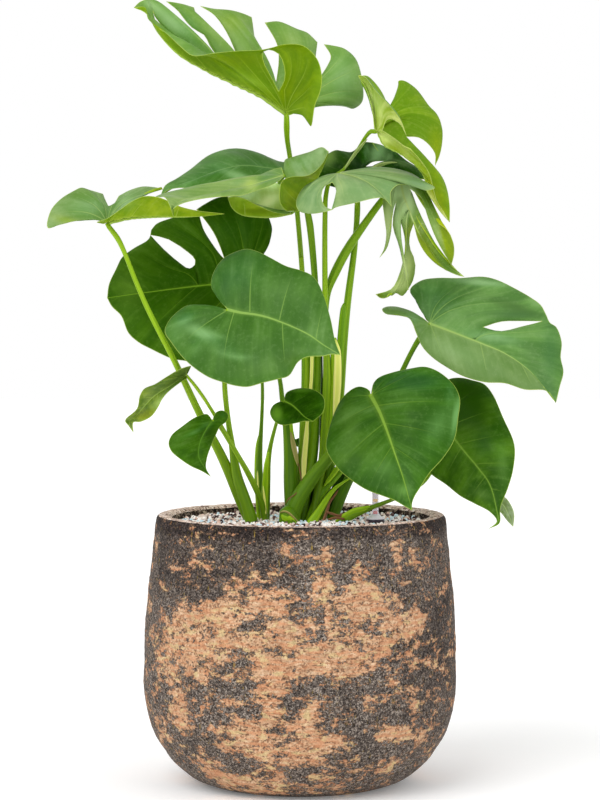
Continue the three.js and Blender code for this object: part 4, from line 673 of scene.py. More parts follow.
class SmoothLine:
    """A smooth line through points, with the same share of its parameter between each two."""

    def __init__(self, points):
        self.points = np.array(points, float)
        p = self.points
        padded = np.vstack([2 * p[0] - p[1], p, 2 * p[-1] - p[-2]])
        gaps = np.sqrt(np.linalg.norm(np.diff(padded, axis=0), axis=1))
        gaps[gaps < 1e-4] = 1
        self.padded, self.gaps = padded, gaps

    def at(self, t):
        """The points at t, a number or an array from 0 to 1."""
        t = np.atleast_1d(np.asarray(t, float))
        spans = len(self.points) - 1
        along = np.clip(t, 0, 1) * spans
        k = np.minimum(along.astype(int), spans - 1)
        w = (along - k)[:, None]
        p0, p1, p2, p3 = (self.padded[k + i] for i in range(4))
        d0, d1, d2 = (self.gaps[k + i][:, None] for i in range(3))
        start = (p1 - p0) / d0 - (p2 - p0) / (d0 + d1) + (p2 - p1) / d1
        end = (p2 - p1) / d1 - (p3 - p1) / (d1 + d2) + (p3 - p2) / d2
        start, end = start * d1, end * d1
        square = -3 * p1 + 3 * p2 - 2 * start - end
        cube = 2 * p1 - 2 * p2 + start + end
        return p1 + start * w + square * w * w + cube * w * w * w

    def evenly(self, count):
        """Parameters of count points that lie evenly along the line."""
        t = np.linspace(0, 1, 40 * len(self.points))
        steps = np.linalg.norm(np.diff(self.at(t), axis=0), axis=1)
        length = np.concatenate([[0], np.cumsum(steps)])
        return np.interp(np.linspace(0, length[-1], count), length, t)

    def length(self, samples):
        return np.linalg.norm(np.diff(self.at(np.linspace(0, 1, samples)), axis=0), axis=1).sum()


def blend_between(a, b, t):
    """Points from a to b, at the fractions t."""
    t = np.asarray(t, float)[..., None]
    return a * (1 - t) + b * t


def smooth_steps(low, high, value):
    t = np.clip((value - low) / (high - low), 0, 1)
    return t * t * (3 - 2 * t)


def build_piece(name, points, faces, finishes, finish_of_face=None, marks=None,
                corner_marks=None, smooth=True):
    """Makes an object from points in millimetres. Marks are numbers that the finish reads."""
    mesh = bpy.data.meshes.new(name)
    mesh.from_pydata((np.asarray(points) * MM).tolist(), [], [list(f) for f in faces])
    for finish in finishes:
        mesh.materials.append(finish)
    if finish_of_face is not None:
        mesh.polygons.foreach_set("material_index", np.asarray(finish_of_face, np.int32))
    mesh.polygons.foreach_set("use_smooth", [smooth] * len(mesh.polygons))
    for mark, values in (marks or {}).items():
        layer = mesh.attributes.new(mark, "FLOAT", "POINT")
        layer.data.foreach_set("value", np.asarray(values, np.float32))
    for mark, values in (corner_marks or {}).items():
        layer = mesh.attributes.new(mark, "FLOAT", "CORNER")
        layer.data.foreach_set("value", np.asarray(values, np.float32))
    mesh.update()
    piece = bpy.data.objects.new(name, mesh)
    bpy.context.scene.collection.objects.link(piece)
    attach(piece, "root")
    return piece


def route_frames(points):
    """Two directions across a route at each of its points, which turn as little as they can."""
    tangent = np.gradient(points, axis=0)
    tangent /= np.linalg.norm(tangent, axis=1)[:, None]
    side = np.cross(tangent[0], [0, 1, 0.13])
    side /= np.linalg.norm(side)
    sides = []
    for t in tangent:
        side = side - t * np.dot(side, t)
        side /= np.linalg.norm(side)
        sides.append(side)
    sides = np.array(sides)
    return sides, np.cross(tangent, sides)


def ring_angles(sides):
    return np.arange(sides) * 2 * math.pi / sides


def faces_between_rings(rings, sides):
    """The faces that join each ring of points to the next one."""
    faces = []
    for row in range(0, (rings - 1) * sides, sides):
        for j in range(sides):
            a, b = row + j, row + (j + 1) % sides
            faces.append((a, b, b + sides, a + sides))
    return faces


def tube_faces(rings, sides):
    """The faces of a tube that is closed at both its ends."""
    last = (rings - 1) * sides
    ends = [tuple(range(sides - 1, -1, -1)), tuple(range(last, last + sides))]
    return faces_between_rings(rings, sides) + ends


def tube_shape(points, radii, sides, ring=None):
    """Points and faces of a tube along a route. ring(angles, k) gives the radii's factors."""
    across, other = route_frames(points)
    angles = ring_angles(sides)
    out = []
    for k, centre in enumerate(points):
        factor = np.ones(sides) if ring is None else ring(angles, k)
        reach = (radii[k] * factor)[:, None]
        out.append(centre + reach * (np.cos(angles)[:, None] * across[k]
                                     + np.sin(angles)[:, None] * other[k]))
    return np.vstack(out), tube_faces(len(points), sides)


def stalk_marks(angles, along, tone):
    """What the stalks' finish reads at each point, for rings at the heights along."""
    count = len(along)
    return {"round_x": np.tile(np.cos(angles), count), "round_y": np.tile(np.sin(angles), count),
            "along": np.repeat(along, len(angles)), "tone": np.full(count * len(angles), tone)}


def strip_shape(path, half_thickness):
    """A flat strip along (x, z, depth, half width) points, thinned towards both ends."""
    line = SmoothLine([place(p) for p in path])
    widths = SmoothLine([(p[3], 0, 0) for p in path])
    t = line.evenly(max(10, 5 * len(path)))
    centre, width = line.at(t), np.maximum(widths.at(t)[:, 0], STRIP_LEAST_WIDTH)
    across, other = route_frames(centre)
    angles = ring_angles(STRIP_SIDES)
    out = []
    for k in range(len(centre)):
        thick = min(half_thickness, width[k])
        out.append(centre[k] + width[k] * np.cos(angles)[:, None] * across[k]
                   + thick * np.sin(angles)[:, None] * other[k])
    marks = stalk_marks(angles, np.linspace(60, 120, len(centre)), 0.0)
    return np.vstack(out), tube_faces(len(centre), STRIP_SIDES), marks


def turned_shape(profile, sides):
    """Points and faces of a wall turned from (radius, z) points."""
    profile = np.array(profile, float)
    angles = ring_angles(sides)
    radius, height = profile[:, 0][:, None], profile[:, 1][:, None]
    points = np.stack([radius * np.cos(angles), radius * np.sin(angles),
                       height + 0 * angles], axis=-1).reshape(-1, 3)
    return points, faces_between_rings(len(profile), sides)


def search_tree(points):
    tree = kdtree.KDTree(len(points))
    for i, p in enumerate(points):
        tree.insert(p, i)
    tree.balance()
    return tree


def nearest(points, targets):
    """Each point's distance to the nearest target, and that target's number."""
    tree = search_tree(targets)
    found = [tree.find(p) for p in points]
    return np.array([f[2] for f in found]), np.array([f[1] for f in found])


# Blades


def side_of_cut(root, cut_foot, bends, head, tip):
    """The side of a lobe: straight to the foot of the cut, then along the cut to the margin."""
    edge = SmoothLine([cut_foot, *bends, head if head is not None else tip])
    edge_end = HEAD if head is not None else 1
    out = []
    for v in ROWS:
        if v <= FOOT:
            out.append(root + (cut_foot - root) * v / FOOT)
        elif v <= edge_end:
            out.append(edge.at((v - FOOT) / (edge_end - FOOT))[0])
        else:
            out.append(head + (tip - head) * (v - HEAD) / (1 - HEAD))
    return np.array(out)


def read_half(parts, rib, steps, at):
    """The lobes of a half, each with the bend of its two sides away from a straight line."""
    lobes = [p for p in parts if "margin" in p]
    cuts = [None] + [p for p in parts if "foot" in p] + [None]
    margin_end = None
    out = []
    for i, part in enumerate(lobes):
        margin = [at(p) for p in part["margin"]]
        before, after = cuts[i], cuts[i + 1]
        if before and before["head"]:
            margin.insert(0, margin_end)
        margin_end = margin[-1]
        ends = [
            (before, before and before["after"], part["from_step"], margin[0]),
            (after, after and after["before"], part["to_step"], margin_end),
        ]
        bends = []
        for cut, points, step, tip in ends:
            if not cut:
                bends.append(np.zeros((len(ROWS), 3)))
                continue
            root = rib.at(step / steps)[0]
            head = at(cut["head"]) if cut["head"] else None
            side = side_of_cut(root, at(cut["foot"]), [at(p) for p in points], head, tip)
            bends.append(side - blend_between(root, tip, ROWS))
        out.append(dict(part, margin=np.array(margin), bends=bends))
    return out


def upper_side(lobes, base):
    """The direction that the upper side of a half faces."""
    margin = np.vstack([part["margin"] for part in lobes]) - base
    total = np.cross(margin[:-1], margin[1:]).sum(axis=0)
    total *= 1 if total[2] > 0 else -1
    return total / np.linalg.norm(total)


def eased(bend):
    """A side's bend with its corner at the foot of the cut rounded off."""
    for _ in range(CORNER_ROUNDS):
        bend = np.vstack([bend[:1], (bend[:-2] + 2 * bend[1:-1] + bend[2:]) / 4, bend[-1:]])
    return bend


def lobe_grid(part, rib, steps, up):
    """The points of a lobe, [column][row], ruled from the midrib to the margin and arched."""
    spans = len(part["margin"]) - 1
    fan = spans - (part["to_step"] - part["from_step"])
    u = np.linspace(0, 1, spans * COLUMNS_PER_STEP + 1)
    root = rib.at((part["from_step"] + np.maximum(0, u * spans - fan)) / steps)
    tip = SmoothLine(part["margin"]).at(u)
    v = ROWS[None, :, None]
    grid = root[:, None] * (1 - v) + tip[:, None] * v
    for bend, far in zip(part["bends"], (u, 1 - u)):
        ease = smooth_steps(0, 0.3, far)[:, None, None]
        grid = grid + (1 - far)[:, None, None] * (bend * (1 - ease) + eased(bend) * ease)
    from_side = np.minimum(1, 2 * np.minimum(u, 1 - u))
    arch = BLADE_ARCH * np.linalg.norm(root - tip, axis=1) * np.sin(math.pi * from_side / 2)
    return grid + (4 * v * (1 - v)) * arch[:, None, None] * up


def vein_columns(grid, wanted):
    """The columns of a lobe that its side veins run along."""
    edge = grid[:, -1]
    if wanted:
        near = [np.linalg.norm(edge - tip, axis=1) for tip in wanted]
        return sorted({int(d.argmin()) for d in near if d.min() < VEIN_REACH})
    steps = np.linalg.norm(np.diff(edge, axis=0), axis=1)
    length = np.concatenate([[0], np.cumsum(steps)])
    veins = max(1, round(length[-1] / VEIN_SPACING))
    places = (np.arange(veins) + 0.5) / veins * length[-1]
    return [int(np.abs(length - s).argmin()) for s in places]


def lobe_relief(grid, veins, chance):
    """How far each point stands above the plain sheet, and its distance to a side vein,
    counted in half widths of that vein."""
    steps = np.linalg.norm(np.diff(grid, axis=0), axis=2)
    across = np.concatenate([np.zeros((1, grid.shape[1])), np.cumsum(steps, axis=0)])
    distance = np.full(grid.shape[:2], FAR_FROM_VEINS)
    taper = 0.3 + 0.7 * (1 - ROWS) ** 0.7
    for k in veins:
        width = taper * chance.uniform(0.5, 0.95)
        distance = np.minimum(distance, np.abs(across - across[k]) / width)
    stops = [None, *veins, None]
    bulge = np.zeros(grid.shape[:2])
    for vein_before, vein_after in zip(stops[:-1], stops[1:]):
        low = 0 if vein_before is None else vein_before
        high = grid.shape[0] - 1 if vein_after is None else vein_after
        if high <= low:
            continue
        t = (np.arange(low, high + 1) - low) / (high - low)
        if vein_before is None and vein_after is None:
            wave = np.full(len(t), 0.7)
        elif vein_before is None:
            wave = np.sin(math.pi * 0.75 * (1 - t))
        elif vein_after is None:
            wave = np.sin(math.pi * 0.75 * t)
        else:
            wave = np.sin(math.pi * t)
        spacing = across[high] - across[low]
        bulge[low:high + 1] = wave[:, None] * np.minimum(spacing * QUILT, QUILT_MOST)
    return bulge * np.sin(math.pi * ROWS ** 0.75)[None], distance


class Sheet:
    """Collects the grids of a blade's lobes into one sheet, and joins equal points."""

    def __init__(self):
        self.points, self.index, self.faces = [], {}, []
        self.lift, self.vein_distance = [], []
        self.corners = {"stripe": [], "across": []}
        self.half_of_face = []

    def add(self, grid, half, flip, lift, distance, stripe):
        ids = np.zeros(grid.shape[:2], int)
        for i, j in np.ndindex(ids.shape):
            key = tuple(np.round(grid[i, j] * JOINED_PER_MM).astype(int))
            if key not in self.index:
                self.index[key] = len(self.points)
                self.points.append(grid[i, j])
                self.lift.append(lift[i, j])
                self.vein_distance.append(distance[i, j])
            ids[i, j] = self.index[key]
        for i in range(1, grid.shape[0]):
            for j in range(1, grid.shape[1]):
                corners = [(i - 1, j - 1), (i, j - 1), (i, j), (i - 1, j)]
                if flip:
                    corners.reverse()
                kept = []
                for corner in corners:
                    if ids[corner] not in [ids[c] for c in kept]:
                        kept.append(corner)
                if len(kept) > 2:
                    self.faces.append([ids[c] for c in kept])
                    self.corners["stripe"] += [stripe[c[0]] for c in kept]
                    self.corners["across"] += [ROWS[c[1]] for c in kept]
                    self.half_of_face.append(half)

    def normals(self, points):
        out = np.zeros_like(points)
        for face in self.faces:
            a, b, c = (points[k] for k in (face[0], face[1], face[-2 if len(face) > 3 else 2]))
            out[face] += np.cross(b - a, c - a)
        return out / np.maximum(np.linalg.norm(out, axis=1), 1e-9)[:, None]

    def open_edges(self):
        edges = {(f[k - 1], f[k]) for f in self.faces for k in range(len(f))}
        return [(a, b) for a, b in edges if (b, a) not in edges]


def patch_marks(points, painted_light_and_shade):
    """Painted light and shade: how much lighter, and how much warmer, a blade is at each point."""
    nearer = EYE_DISTANCE / (EYE_DISTANCE + points[:, 1])
    x = points[:, 0] * nearer
    z = EYE_HEIGHT + (points[:, 2] - EYE_HEIGHT) * nearer
    lighter, warmer = np.zeros(len(points)), np.zeros(len(points))
    for cx, cz, wide, high, turn, more_light, more_warmth in painted_light_and_shade:
        a = math.radians(turn)
        along = (x - cx) * math.cos(a) + (z - cz) * math.sin(a)
        across = (z - cz) * math.cos(a) - (x - cx) * math.sin(a)
        share = np.exp(-(along / wide) ** 2 - (across / high) ** 2)
        lighter += more_light * share
        warmer += more_warmth * share
    return lighter, warmer


def rib_half_width(radius, share):
    return radius * (1 - share) ** 1.25 + 0.2


def midrib_ridge(rib, radius, up_at):
    """The midrib: a tapering ridge that stands out of the underside and just shows on top."""
    centre = rib.at(rib.evenly(RIB_RINGS))
    radii = rib_half_width(radius, np.linspace(0, 1, RIB_RINGS))
    centre = centre - up_at(centre) * (radii * RIB_SUNK)[:, None]
    return tube_shape(centre, radii, RIB_SIDES)


def faces_down(lobes, rib, steps, up):
    """Whether a half's faces, in the order of its grid, turn their fronts to the underside."""
    total = np.zeros(3)
    for part in lobes:
        grid = lobe_grid(part, rib, steps, up)
        a, b, c = grid[:-1, :-1], grid[1:, :-1], grid[1:, 1:]
        total += np.cross(b - a, c - a).sum(axis=(0, 1))
    return float(total @ up) < 0


def blade_sheet(name, leaf, rib, at):
    """A blade without its thickness: the lobes of its two halves, joined."""
    wanted = [at(p) for p in leaf.get("veins", [])]
    chance = random.Random(name)
    sheet = Sheet()
    turned = None
    for half, parts in enumerate((leaf["near"], leaf["far"])):
        lobes = read_half(parts, rib, leaf["steps"], at)
        up = upper_side(lobes, rib.at(0)[0])
        if turned is None:
            turned = faces_down(lobes, rib, leaf["steps"], up)
        stripe_start = 0
        for part in lobes:
            grid = lobe_grid(part, rib, leaf["steps"], up)
            lift, distance = lobe_relief(grid, vein_columns(grid, wanted), chance)
            stripe = stripe_start + np.arange(grid.shape[0]) / COLUMNS_PER_STEP
            stripe_start = stripe[-1]
            sheet.add(grid, half, (half == 1) != turned, lift, distance, stripe)
    return sheet


def corners_of_both_sides(values, faces):
    """A mark at the corners of the upper faces, then at those of the same faces turned over."""
    turned_over, k = [], 0
    for f in faces:
        turned_over += reversed(values[k:k + len(f)])
        k += len(f)
    return values + turned_over


def grow_blade(name, leaf, finishes, rib_radius):
    """One blade with its cuts, its quilting between the veins, its two faces and its midrib."""
    lean = leaf.get("lean")
    if lean:
        lean = dict(lean, from_point=leaf["rib"][0][:2])

    def at(point):
        return place(point, lean)

    rib = SmoothLine([at(p) for p in leaf["rib"]])
    sheet = blade_sheet(name, leaf, rib, at)
    points = np.array(sheet.points)
    normals = sheet.normals(points)
    edges = sheet.open_edges()
    rim = sorted({k for edge in edges for k in edge})
    edge_distance, _ = nearest(points, points[rim])
    rib_shares = np.linspace(0, 1, RIB_SAMPLES)
    rib_distance, rib_k = nearest(points, rib.at(rib_shares))
    rib_mark = rib_distance / rib_half_width(rib_radius, rib_shares[rib_k])
    ripple = np.array([noise.noise(Vector(p) * RIPPLE_PER_MM) for p in points])
    free = smooth_steps(0, FREE_FROM_RIB, rib_distance)
    curl = 1 - smooth_steps(0, CURLED_MARGIN, edge_distance)
    raised = (np.array(sheet.lift) + RIPPLE * ripple) * free - curl * free
    points = points + normals * raised[:, None]
    normals = sheet.normals(points)
    thinned = 0.45 + 0.55 * smooth_steps(0, THINNED_MARGIN, edge_distance)
    half_thickness = BLADE_THICKNESS / 2 * thinned[:, None]
    count = len(points)
    both = np.vstack([points + normals * half_thickness, points - normals * half_thickness])
    faces = [tuple(f) for f in sheet.faces]
    faces += [tuple(k + count for k in reversed(f)) for f in sheet.faces]
    kinds = [2 * h for h in sheet.half_of_face] + [2 * h + 1 for h in sheet.half_of_face]
    faces += [(a, a + count, b + count, b) for a, b in edges]
    kinds += [1] * len(edges)
    up_tree = search_tree(points)

    def up_at(centres):
        return np.array([normals[up_tree.find(p)[1]] for p in centres])

    ridge, ridge_faces = midrib_ridge(rib, rib_radius, up_at)
    faces += [tuple(k + 2 * count for k in f) for f in ridge_faces]
    kinds += [4] * len(ridge_faces)
    rim_corners = 4 * len(edges)
    ridge_corners = sum(len(f) for f in ridge_faces)
    corner_marks = {
        mark: corners_of_both_sides(values, sheet.faces) + [1.0] * rim_corners + [0.0] * ridge_corners
        for mark, values in sheet.corners.items()}
    rest = [0.0] * len(ridge)
    # The blade's patches of painted light and shade, which the finish reads as lighter and warmer.
    lighter, warmer = patch_marks(both, leaf.get("painted_light_and_shade", []))
    marks = {
        "vein_distance": [*sheet.vein_distance, *sheet.vein_distance, *rest],
        "edge_distance": [*edge_distance, *edge_distance, *[FAR_FROM_EDGE] * len(ridge)],
        "rib_distance": [*rib_mark, *rib_mark, *rest],
        "lighter": [*lighter, *rest],
        "warmer": [*warmer, *rest],
    }
    piece = build_piece(f"leaf_{name}", np.vstack([both, ridge]), faces, finishes, kinds, marks,
                        corner_marks)
    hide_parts(f"blade_{name}")


# Finishes


def colour(red, green, blue):
    """A colour as it looks on a screen, from 0 to 255, in the renderer's own terms."""
    def linear(c):
        c /= 255
        return c / 12.92 if c <= 0.04045 else ((c + 0.055) / 1.055) ** 2.4
    return (linear(red), linear(green), linear(blue), 1)


class Wiring:
    """Puts nodes into a tree. A socket takes a number, a colour or another node's output."""

    def __init__(self, tree):
        self.tree = tree

    def put(self, kind, feeds=None, **settings):
        node = self.tree.nodes.new(kind)
        for key, value in settings.items():
            setattr(node, key, value)
        for key, value in (feeds or {}).items():
            socket = node.inputs[key]
            if isinstance(value, bpy.types.NodeSocket):
                self.tree.links.new(value, socket)
            else:
                socket.default_value = value
        return node

    def mark(self, name):
        """A number that the mesh carries at each of its points or corners."""
        return self.put("ShaderNodeAttribute", attribute_name=name).outputs["Fac"]

    def math(self, operation, a, b, clamp=False):
        node = self.put("ShaderNodeMath", {0: a, 1: b}, operation=operation, use_clamp=clamp)
        return node.outputs[0]

    def times(self, a, b):
        return self.math("MULTIPLY", a, b)

    def plus(self, a, b, clamp=False):
        return self.math("ADD", a, b, clamp)

    def minus(self, a, b, clamp=False):
        return self.math("SUBTRACT", a, b, clamp)

    def ramp(self, value, low, high, from_value=0.0, to_value=1.0):
        """The value, eased from from_value at low to to_value at high."""
        node = self.put("ShaderNodeMapRange", {
            "Value": value, "From Min": low, "From Max": high,
            "To Min": from_value, "To Max": to_value}, interpolation_type="SMOOTHSTEP")
        return node.outputs[0]

    def mix(self, share, a, b, blend="MIX"):
        node = self.put("ShaderNodeMix", {0: share, 6: a, 7: b}, data_type="RGBA", blend_type=blend)
        return node.outputs[2]

    def place(self, stretch=(1, 1, 1)):
        where = self.put("ShaderNodeTexCoord").outputs["Object"]
        return self.put("ShaderNodeMapping", {"Vector": where, "Scale": stretch}).outputs[0]

    def cloud(self, where, scale, detail, roughness=0.5):
        node = self.put("ShaderNodeTexNoise", {
            "Vector": where, "Scale": scale, "Detail": detail, "Roughness": roughness})
        return node.outputs["Fac"]

    def grain(self, size_mm, detail, roughness=0.55, stretch=(1, 1, 1)):
        """Noise with features of a size in millimetres."""
        return self.cloud(self.place(stretch), 1000 / size_mm, detail, roughness)

    def bump(self, height, strength, depth_mm):
        return self.put("ShaderNodeBump", {
            "Height": height, "Strength": strength, "Distance": depth_mm * MM})

    def surface(self, feeds):
        """Ends a finish with its surface."""
        shader = self.put("ShaderNodeBsdfPrincipled", feeds)
        self.put("ShaderNodeOutputMaterial", {"Surface": shader.outputs[0]})

    def give(self, value, socket):
        self.tree.links.new(value, socket)


def start_finish(name):
    """A material that is still empty, and the wiring that fills it."""
    finish = bpy.data.materials.new(name)
    finish.use_nodes = True
    finish.node_tree.nodes.clear()
    return finish, Wiring(finish.node_tree)


def start_effect(name, colours, numbers, outputs):
    """An effect that several finishes use, with its named inputs and outputs."""
    group = bpy.data.node_groups.new(name, "ShaderNodeTree")
    kinds = {"colour": "NodeSocketColor", "value": "NodeSocketFloat"}
    for label, shade in colours.items():
        socket = group.interface.new_socket(label, in_out="INPUT", socket_type=kinds["colour"])
        socket.default_value = colour(*shade)
    for label, start in numbers.items():
        socket = group.interface.new_socket(label, in_out="INPUT", socket_type=kinds["value"])
        socket.default_value = start
    for label, kind in outputs.items():
        group.interface.new_socket(label, in_out="OUTPUT", socket_type=kinds[kind])
    w = Wiring(group)
    taken = w.put("NodeGroupInput").outputs
    given = w.put("NodeGroupOutput").inputs
    return group, w, taken, given


def leaf_tissue():
    """Flesh in soft streaks from midrib to margin, veins that fade as they go, painted light and shade."""
    group, w, taken, given = start_effect("leaf tissue", {
        "Flesh": (60, 120, 40), "Shade": (45, 95, 30), "Light": (80, 140, 50),
        "Vein": (150, 180, 70), "Margin": (160, 190, 80),
    }, {"Vein strength": 0.6, "Streaks": 0.5}, {
        "Colour": "colour", "Relief": "value", "Gloss": "value"})
    across, stripe = w.mark("across"), w.mark("stripe")

    def streak(per_step, along, detail):
        where = w.put("ShaderNodeCombineXYZ", {0: w.times(stripe, per_step), 1: w.times(across, along)})
        return w.cloud(where.outputs[0], 1.0, detail, 0.6)

    broad, slim = streak(0.9, 0.9, 2), streak(4.5, 1.1, 3)
    blotch, mottle = w.grain(70, 3), w.grain(5, 4, 0.7)
    tone = w.plus(w.times(broad, 0.5), w.times(blotch, 0.5))
    flesh = w.mix(w.ramp(tone, 0.42, 0.6), taken["Shade"], taken["Flesh"])
    flesh = w.mix(w.ramp(tone, 0.56, 0.7, 0.0, 0.4), flesh, taken["Light"])
    flesh = w.mix(w.ramp(mottle, 0.5, 0.68, 0.0, 0.16), flesh, taken["Light"])
    flesh = w.mix(w.ramp(mottle, 0.5, 0.34, 0.0, 0.2), flesh, taken["Shade"])
    flesh = w.mix(w.times(w.ramp(slim, 0.5, 0.68), taken["Streaks"]), flesh, taken["Light"])
    flesh = w.mix(w.times(w.ramp(slim, 0.5, 0.34), taken["Streaks"]), flesh, taken["Shade"])
    # Painted light and shade: lighter mixes in the light colour and brightens (painted sheen and
    # highlights), darker mixes in the shade and dims (painted shade), and warmth turns the hue (bluish
    # painted sheen, yellow painted glow through the blade).
    lighter, warmer = w.mark("lighter"), w.mark("warmer")
    flesh = w.mix(w.ramp(lighter, 0, 1), flesh, taken["Light"])
    flesh = w.mix(w.ramp(lighter, -1, 0, 1, 0), flesh, taken["Shade"])
    flesh = w.put("ShaderNodeHueSaturation", {
        "Hue": w.ramp(warmer, -1, 1, 0.514, 0.466),
        "Saturation": w.times(w.ramp(warmer, -1, 0, 0.9, 1), w.ramp(warmer, 0, 2, 1, 1.5)),
        "Value": w.ramp(lighter, -1, 1, 0.78, 1.16), "Color": flesh}).outputs[0]
    vein = w.ramp(w.mark("vein_distance"), 0.4, 1.5, 1.0, 0.0)
    vein = w.times(vein, w.ramp(across, 0.25, 0.9, 1.0, 0.0))
    rib = w.mark("rib_distance")
    flesh = w.mix(w.times(vein, taken["Vein strength"]), flesh, taken["Vein"])
    flesh = w.mix(w.ramp(rib, 0.9, 4.0, 0.2, 0.0), flesh, taken["Vein"])
    flesh = w.mix(w.ramp(rib, 0.7, 1.3, 0.85, 0.0), flesh, taken["Vein"])
    margin = w.ramp(w.mark("edge_distance"), 0.25, 1.0, 0.75, 0.0)
    w.give(w.mix(margin, flesh, taken["Margin"]), given["Colour"])
    w.give(w.plus(vein, w.times(slim, 0.5)), given["Relief"])
    w.give(w.ramp(w.grain(24, 3), 0.3, 0.7), given["Gloss"])
    return group


def blade_finish(name, tissue, shades, vein_strength, streaks, roughness, relief, gloss, painted_glow):
    """One side of a blade: flesh, shade, light and veins. The glow is painted light, an emission."""
    finish, w = start_finish(name)
    flesh, shade, light, vein = (colour(*c) for c in shades)
    leaf = w.put("ShaderNodeGroup", {
        "Flesh": flesh, "Shade": shade, "Light": light, "Vein": vein,
        "Margin": tuple(0.5 * (a + b) for a, b in zip(vein, colour(196, 214, 96))),
        "Vein strength": vein_strength, "Streaks": streaks}, node_tree=tissue).outputs
    veins_stand = w.bump(leaf["Relief"], 0.4, relief)
    skin = w.bump(w.cloud(w.place(), 420, 2), 0.12, 0.12)
    w.give(veins_stand.outputs[0], skin.inputs["Normal"])
    w.surface({
        "Base Color": leaf["Colour"], "Normal": skin.outputs[0], "Specular IOR Level": gloss,
        "Roughness": w.ramp(leaf["Gloss"], 0, 1, roughness - 0.04, roughness + 0.06),
        "Emission Color": leaf["Colour"], "Emission Strength": painted_glow})
    return finish


def stalk_fibre():
    """Lengthwise streaks round a stalk, with painted shade darkening its foot, and small scars on it."""
    group, w, taken, given = start_effect("stalk fibre", {
        "Flesh": (110, 150, 40), "Light": (150, 185, 70), "Dark": (70, 110, 25),
        "Scar": (140, 120, 60),
    }, {"Foot height": 60.0, "Foot shade": 0.6, "Scars": 0.3}, {
        "Colour": "colour", "Streaks": "value"})
    around = w.put("ShaderNodeCombineXYZ", {
        0: w.mark("round_x"), 1: w.mark("round_y"), 2: w.times(w.mark("along"), 0.006)}).outputs[0]
    streak, broad = w.cloud(around, 5.0, 5, 0.6), w.cloud(around, 1.3, 2)
    tone = w.mark("tone")
    bright = w.plus(w.ramp(streak, 0.45, 0.72, 0.0, 0.8), tone, clamp=True)
    flesh = w.mix(bright, taken["Flesh"], taken["Light"])
    dim = w.minus(w.ramp(broad, 0.45, 0.7, 0.0, 0.6), tone, clamp=True)
    flesh = w.mix(dim, flesh, taken["Dark"])
    # Painted shade: the foot, down among the crowded stalks under the leaves, is darkened.
    up = w.math("DIVIDE", w.mark("along"), taken["Foot height"])
    foot = w.ramp(up, 0.3, 1.6, 1.0, 0.0)
    flesh = w.mix(w.times(foot, taken["Foot shade"]), flesh, taken["Dark"])
    fleck = w.ramp(w.grain(2.5, 4, 0.7, stretch=(1, 1, 0.35)), 0.66, 0.74)
    w.give(w.mix(w.times(fleck, taken["Scars"]), flesh, taken["Scar"]), given["Colour"])
    w.give(streak, given["Streaks"])
    return group


# A stalk's or sheath's finish. Its glow is painted light, an emission that lifts it in shade.
def stalk_finish(name, fibre, flesh, light, dark, scar=(140, 120, 60), foot_shade=0.0,
                 scars=0.0, gloss=0.22, painted_glow=0.0):
    finish, w = start_finish(name)
    skin = w.put("ShaderNodeGroup", {
        "Flesh": colour(*flesh), "Light": colour(*light), "Dark": colour(*dark),
        "Scar": colour(*scar), "Foot shade": foot_shade, "Scars": scars}, node_tree=fibre).outputs
    w.surface({
        "Base Color": skin["Colour"], "Roughness": w.ramp(skin["Streaks"], 0.3, 0.7, 0.4, 0.55),
        "Normal": w.bump(skin["Streaks"], 0.5, 0.5).outputs[0], "Specular IOR Level": gloss,
        "Emission Color": skin["Colour"], "Emission Strength": painted_glow})
    return finish


def clay_grit():
    """Coarse sand in fired clay: every grain has its own shade and stands its own height."""
    group, w, taken, given = start_effect("clay grit", {
        "Dark": (45, 38, 36), "Body": (80, 70, 66), "Light": (150, 140, 132),
    }, {"Grain size": 2.0, "Light grains": 0.5}, {"Colour": "colour", "Height": "value"})
    where = w.place()
    grains = w.put("ShaderNodeTexVoronoi", {
        "Vector": where, "Scale": w.math("DIVIDE", 1000.0, taken["Grain size"])}).outputs
    own_shade = w.put("ShaderNodeSeparateColor", {"Color": grains["Color"]}).outputs[0]
    dust = w.cloud(where, w.math("DIVIDE", 420.0, taken["Grain size"]), 4, 0.7)
    shade = w.plus(w.times(own_shade, 0.62), w.times(w.ramp(dust, 0.3, 0.7), 0.38))
    body = w.mix(w.ramp(shade, 0.2, 0.5), taken["Dark"], taken["Body"])
    light = w.times(w.ramp(shade, 0.56, 0.86), taken["Light grains"])
    body = w.mix(light, body, taken["Light"])
    stain = w.ramp(w.grain(26, 3), 0.4, 0.75, 0.0, 0.35)
    w.give(w.mix(stain, body, taken["Dark"]), given["Colour"])
    domes = w.ramp(grains["Distance"], 0.0, 0.6, 1.0, 0.0)
    w.give(w.times(domes, w.ramp(shade, 0.0, 1.0, 0.3, 1.0)), given["Height"])
    return group


def gritty(w, grit, dark, body, light, grain_size, light_grains):
    return w.put("ShaderNodeGroup", {
        "Dark": colour(*dark), "Body": colour(*body), "Light": colour(*light),
        "Grain size": grain_size, "Light grains": light_grains}, node_tree=grit).outputs


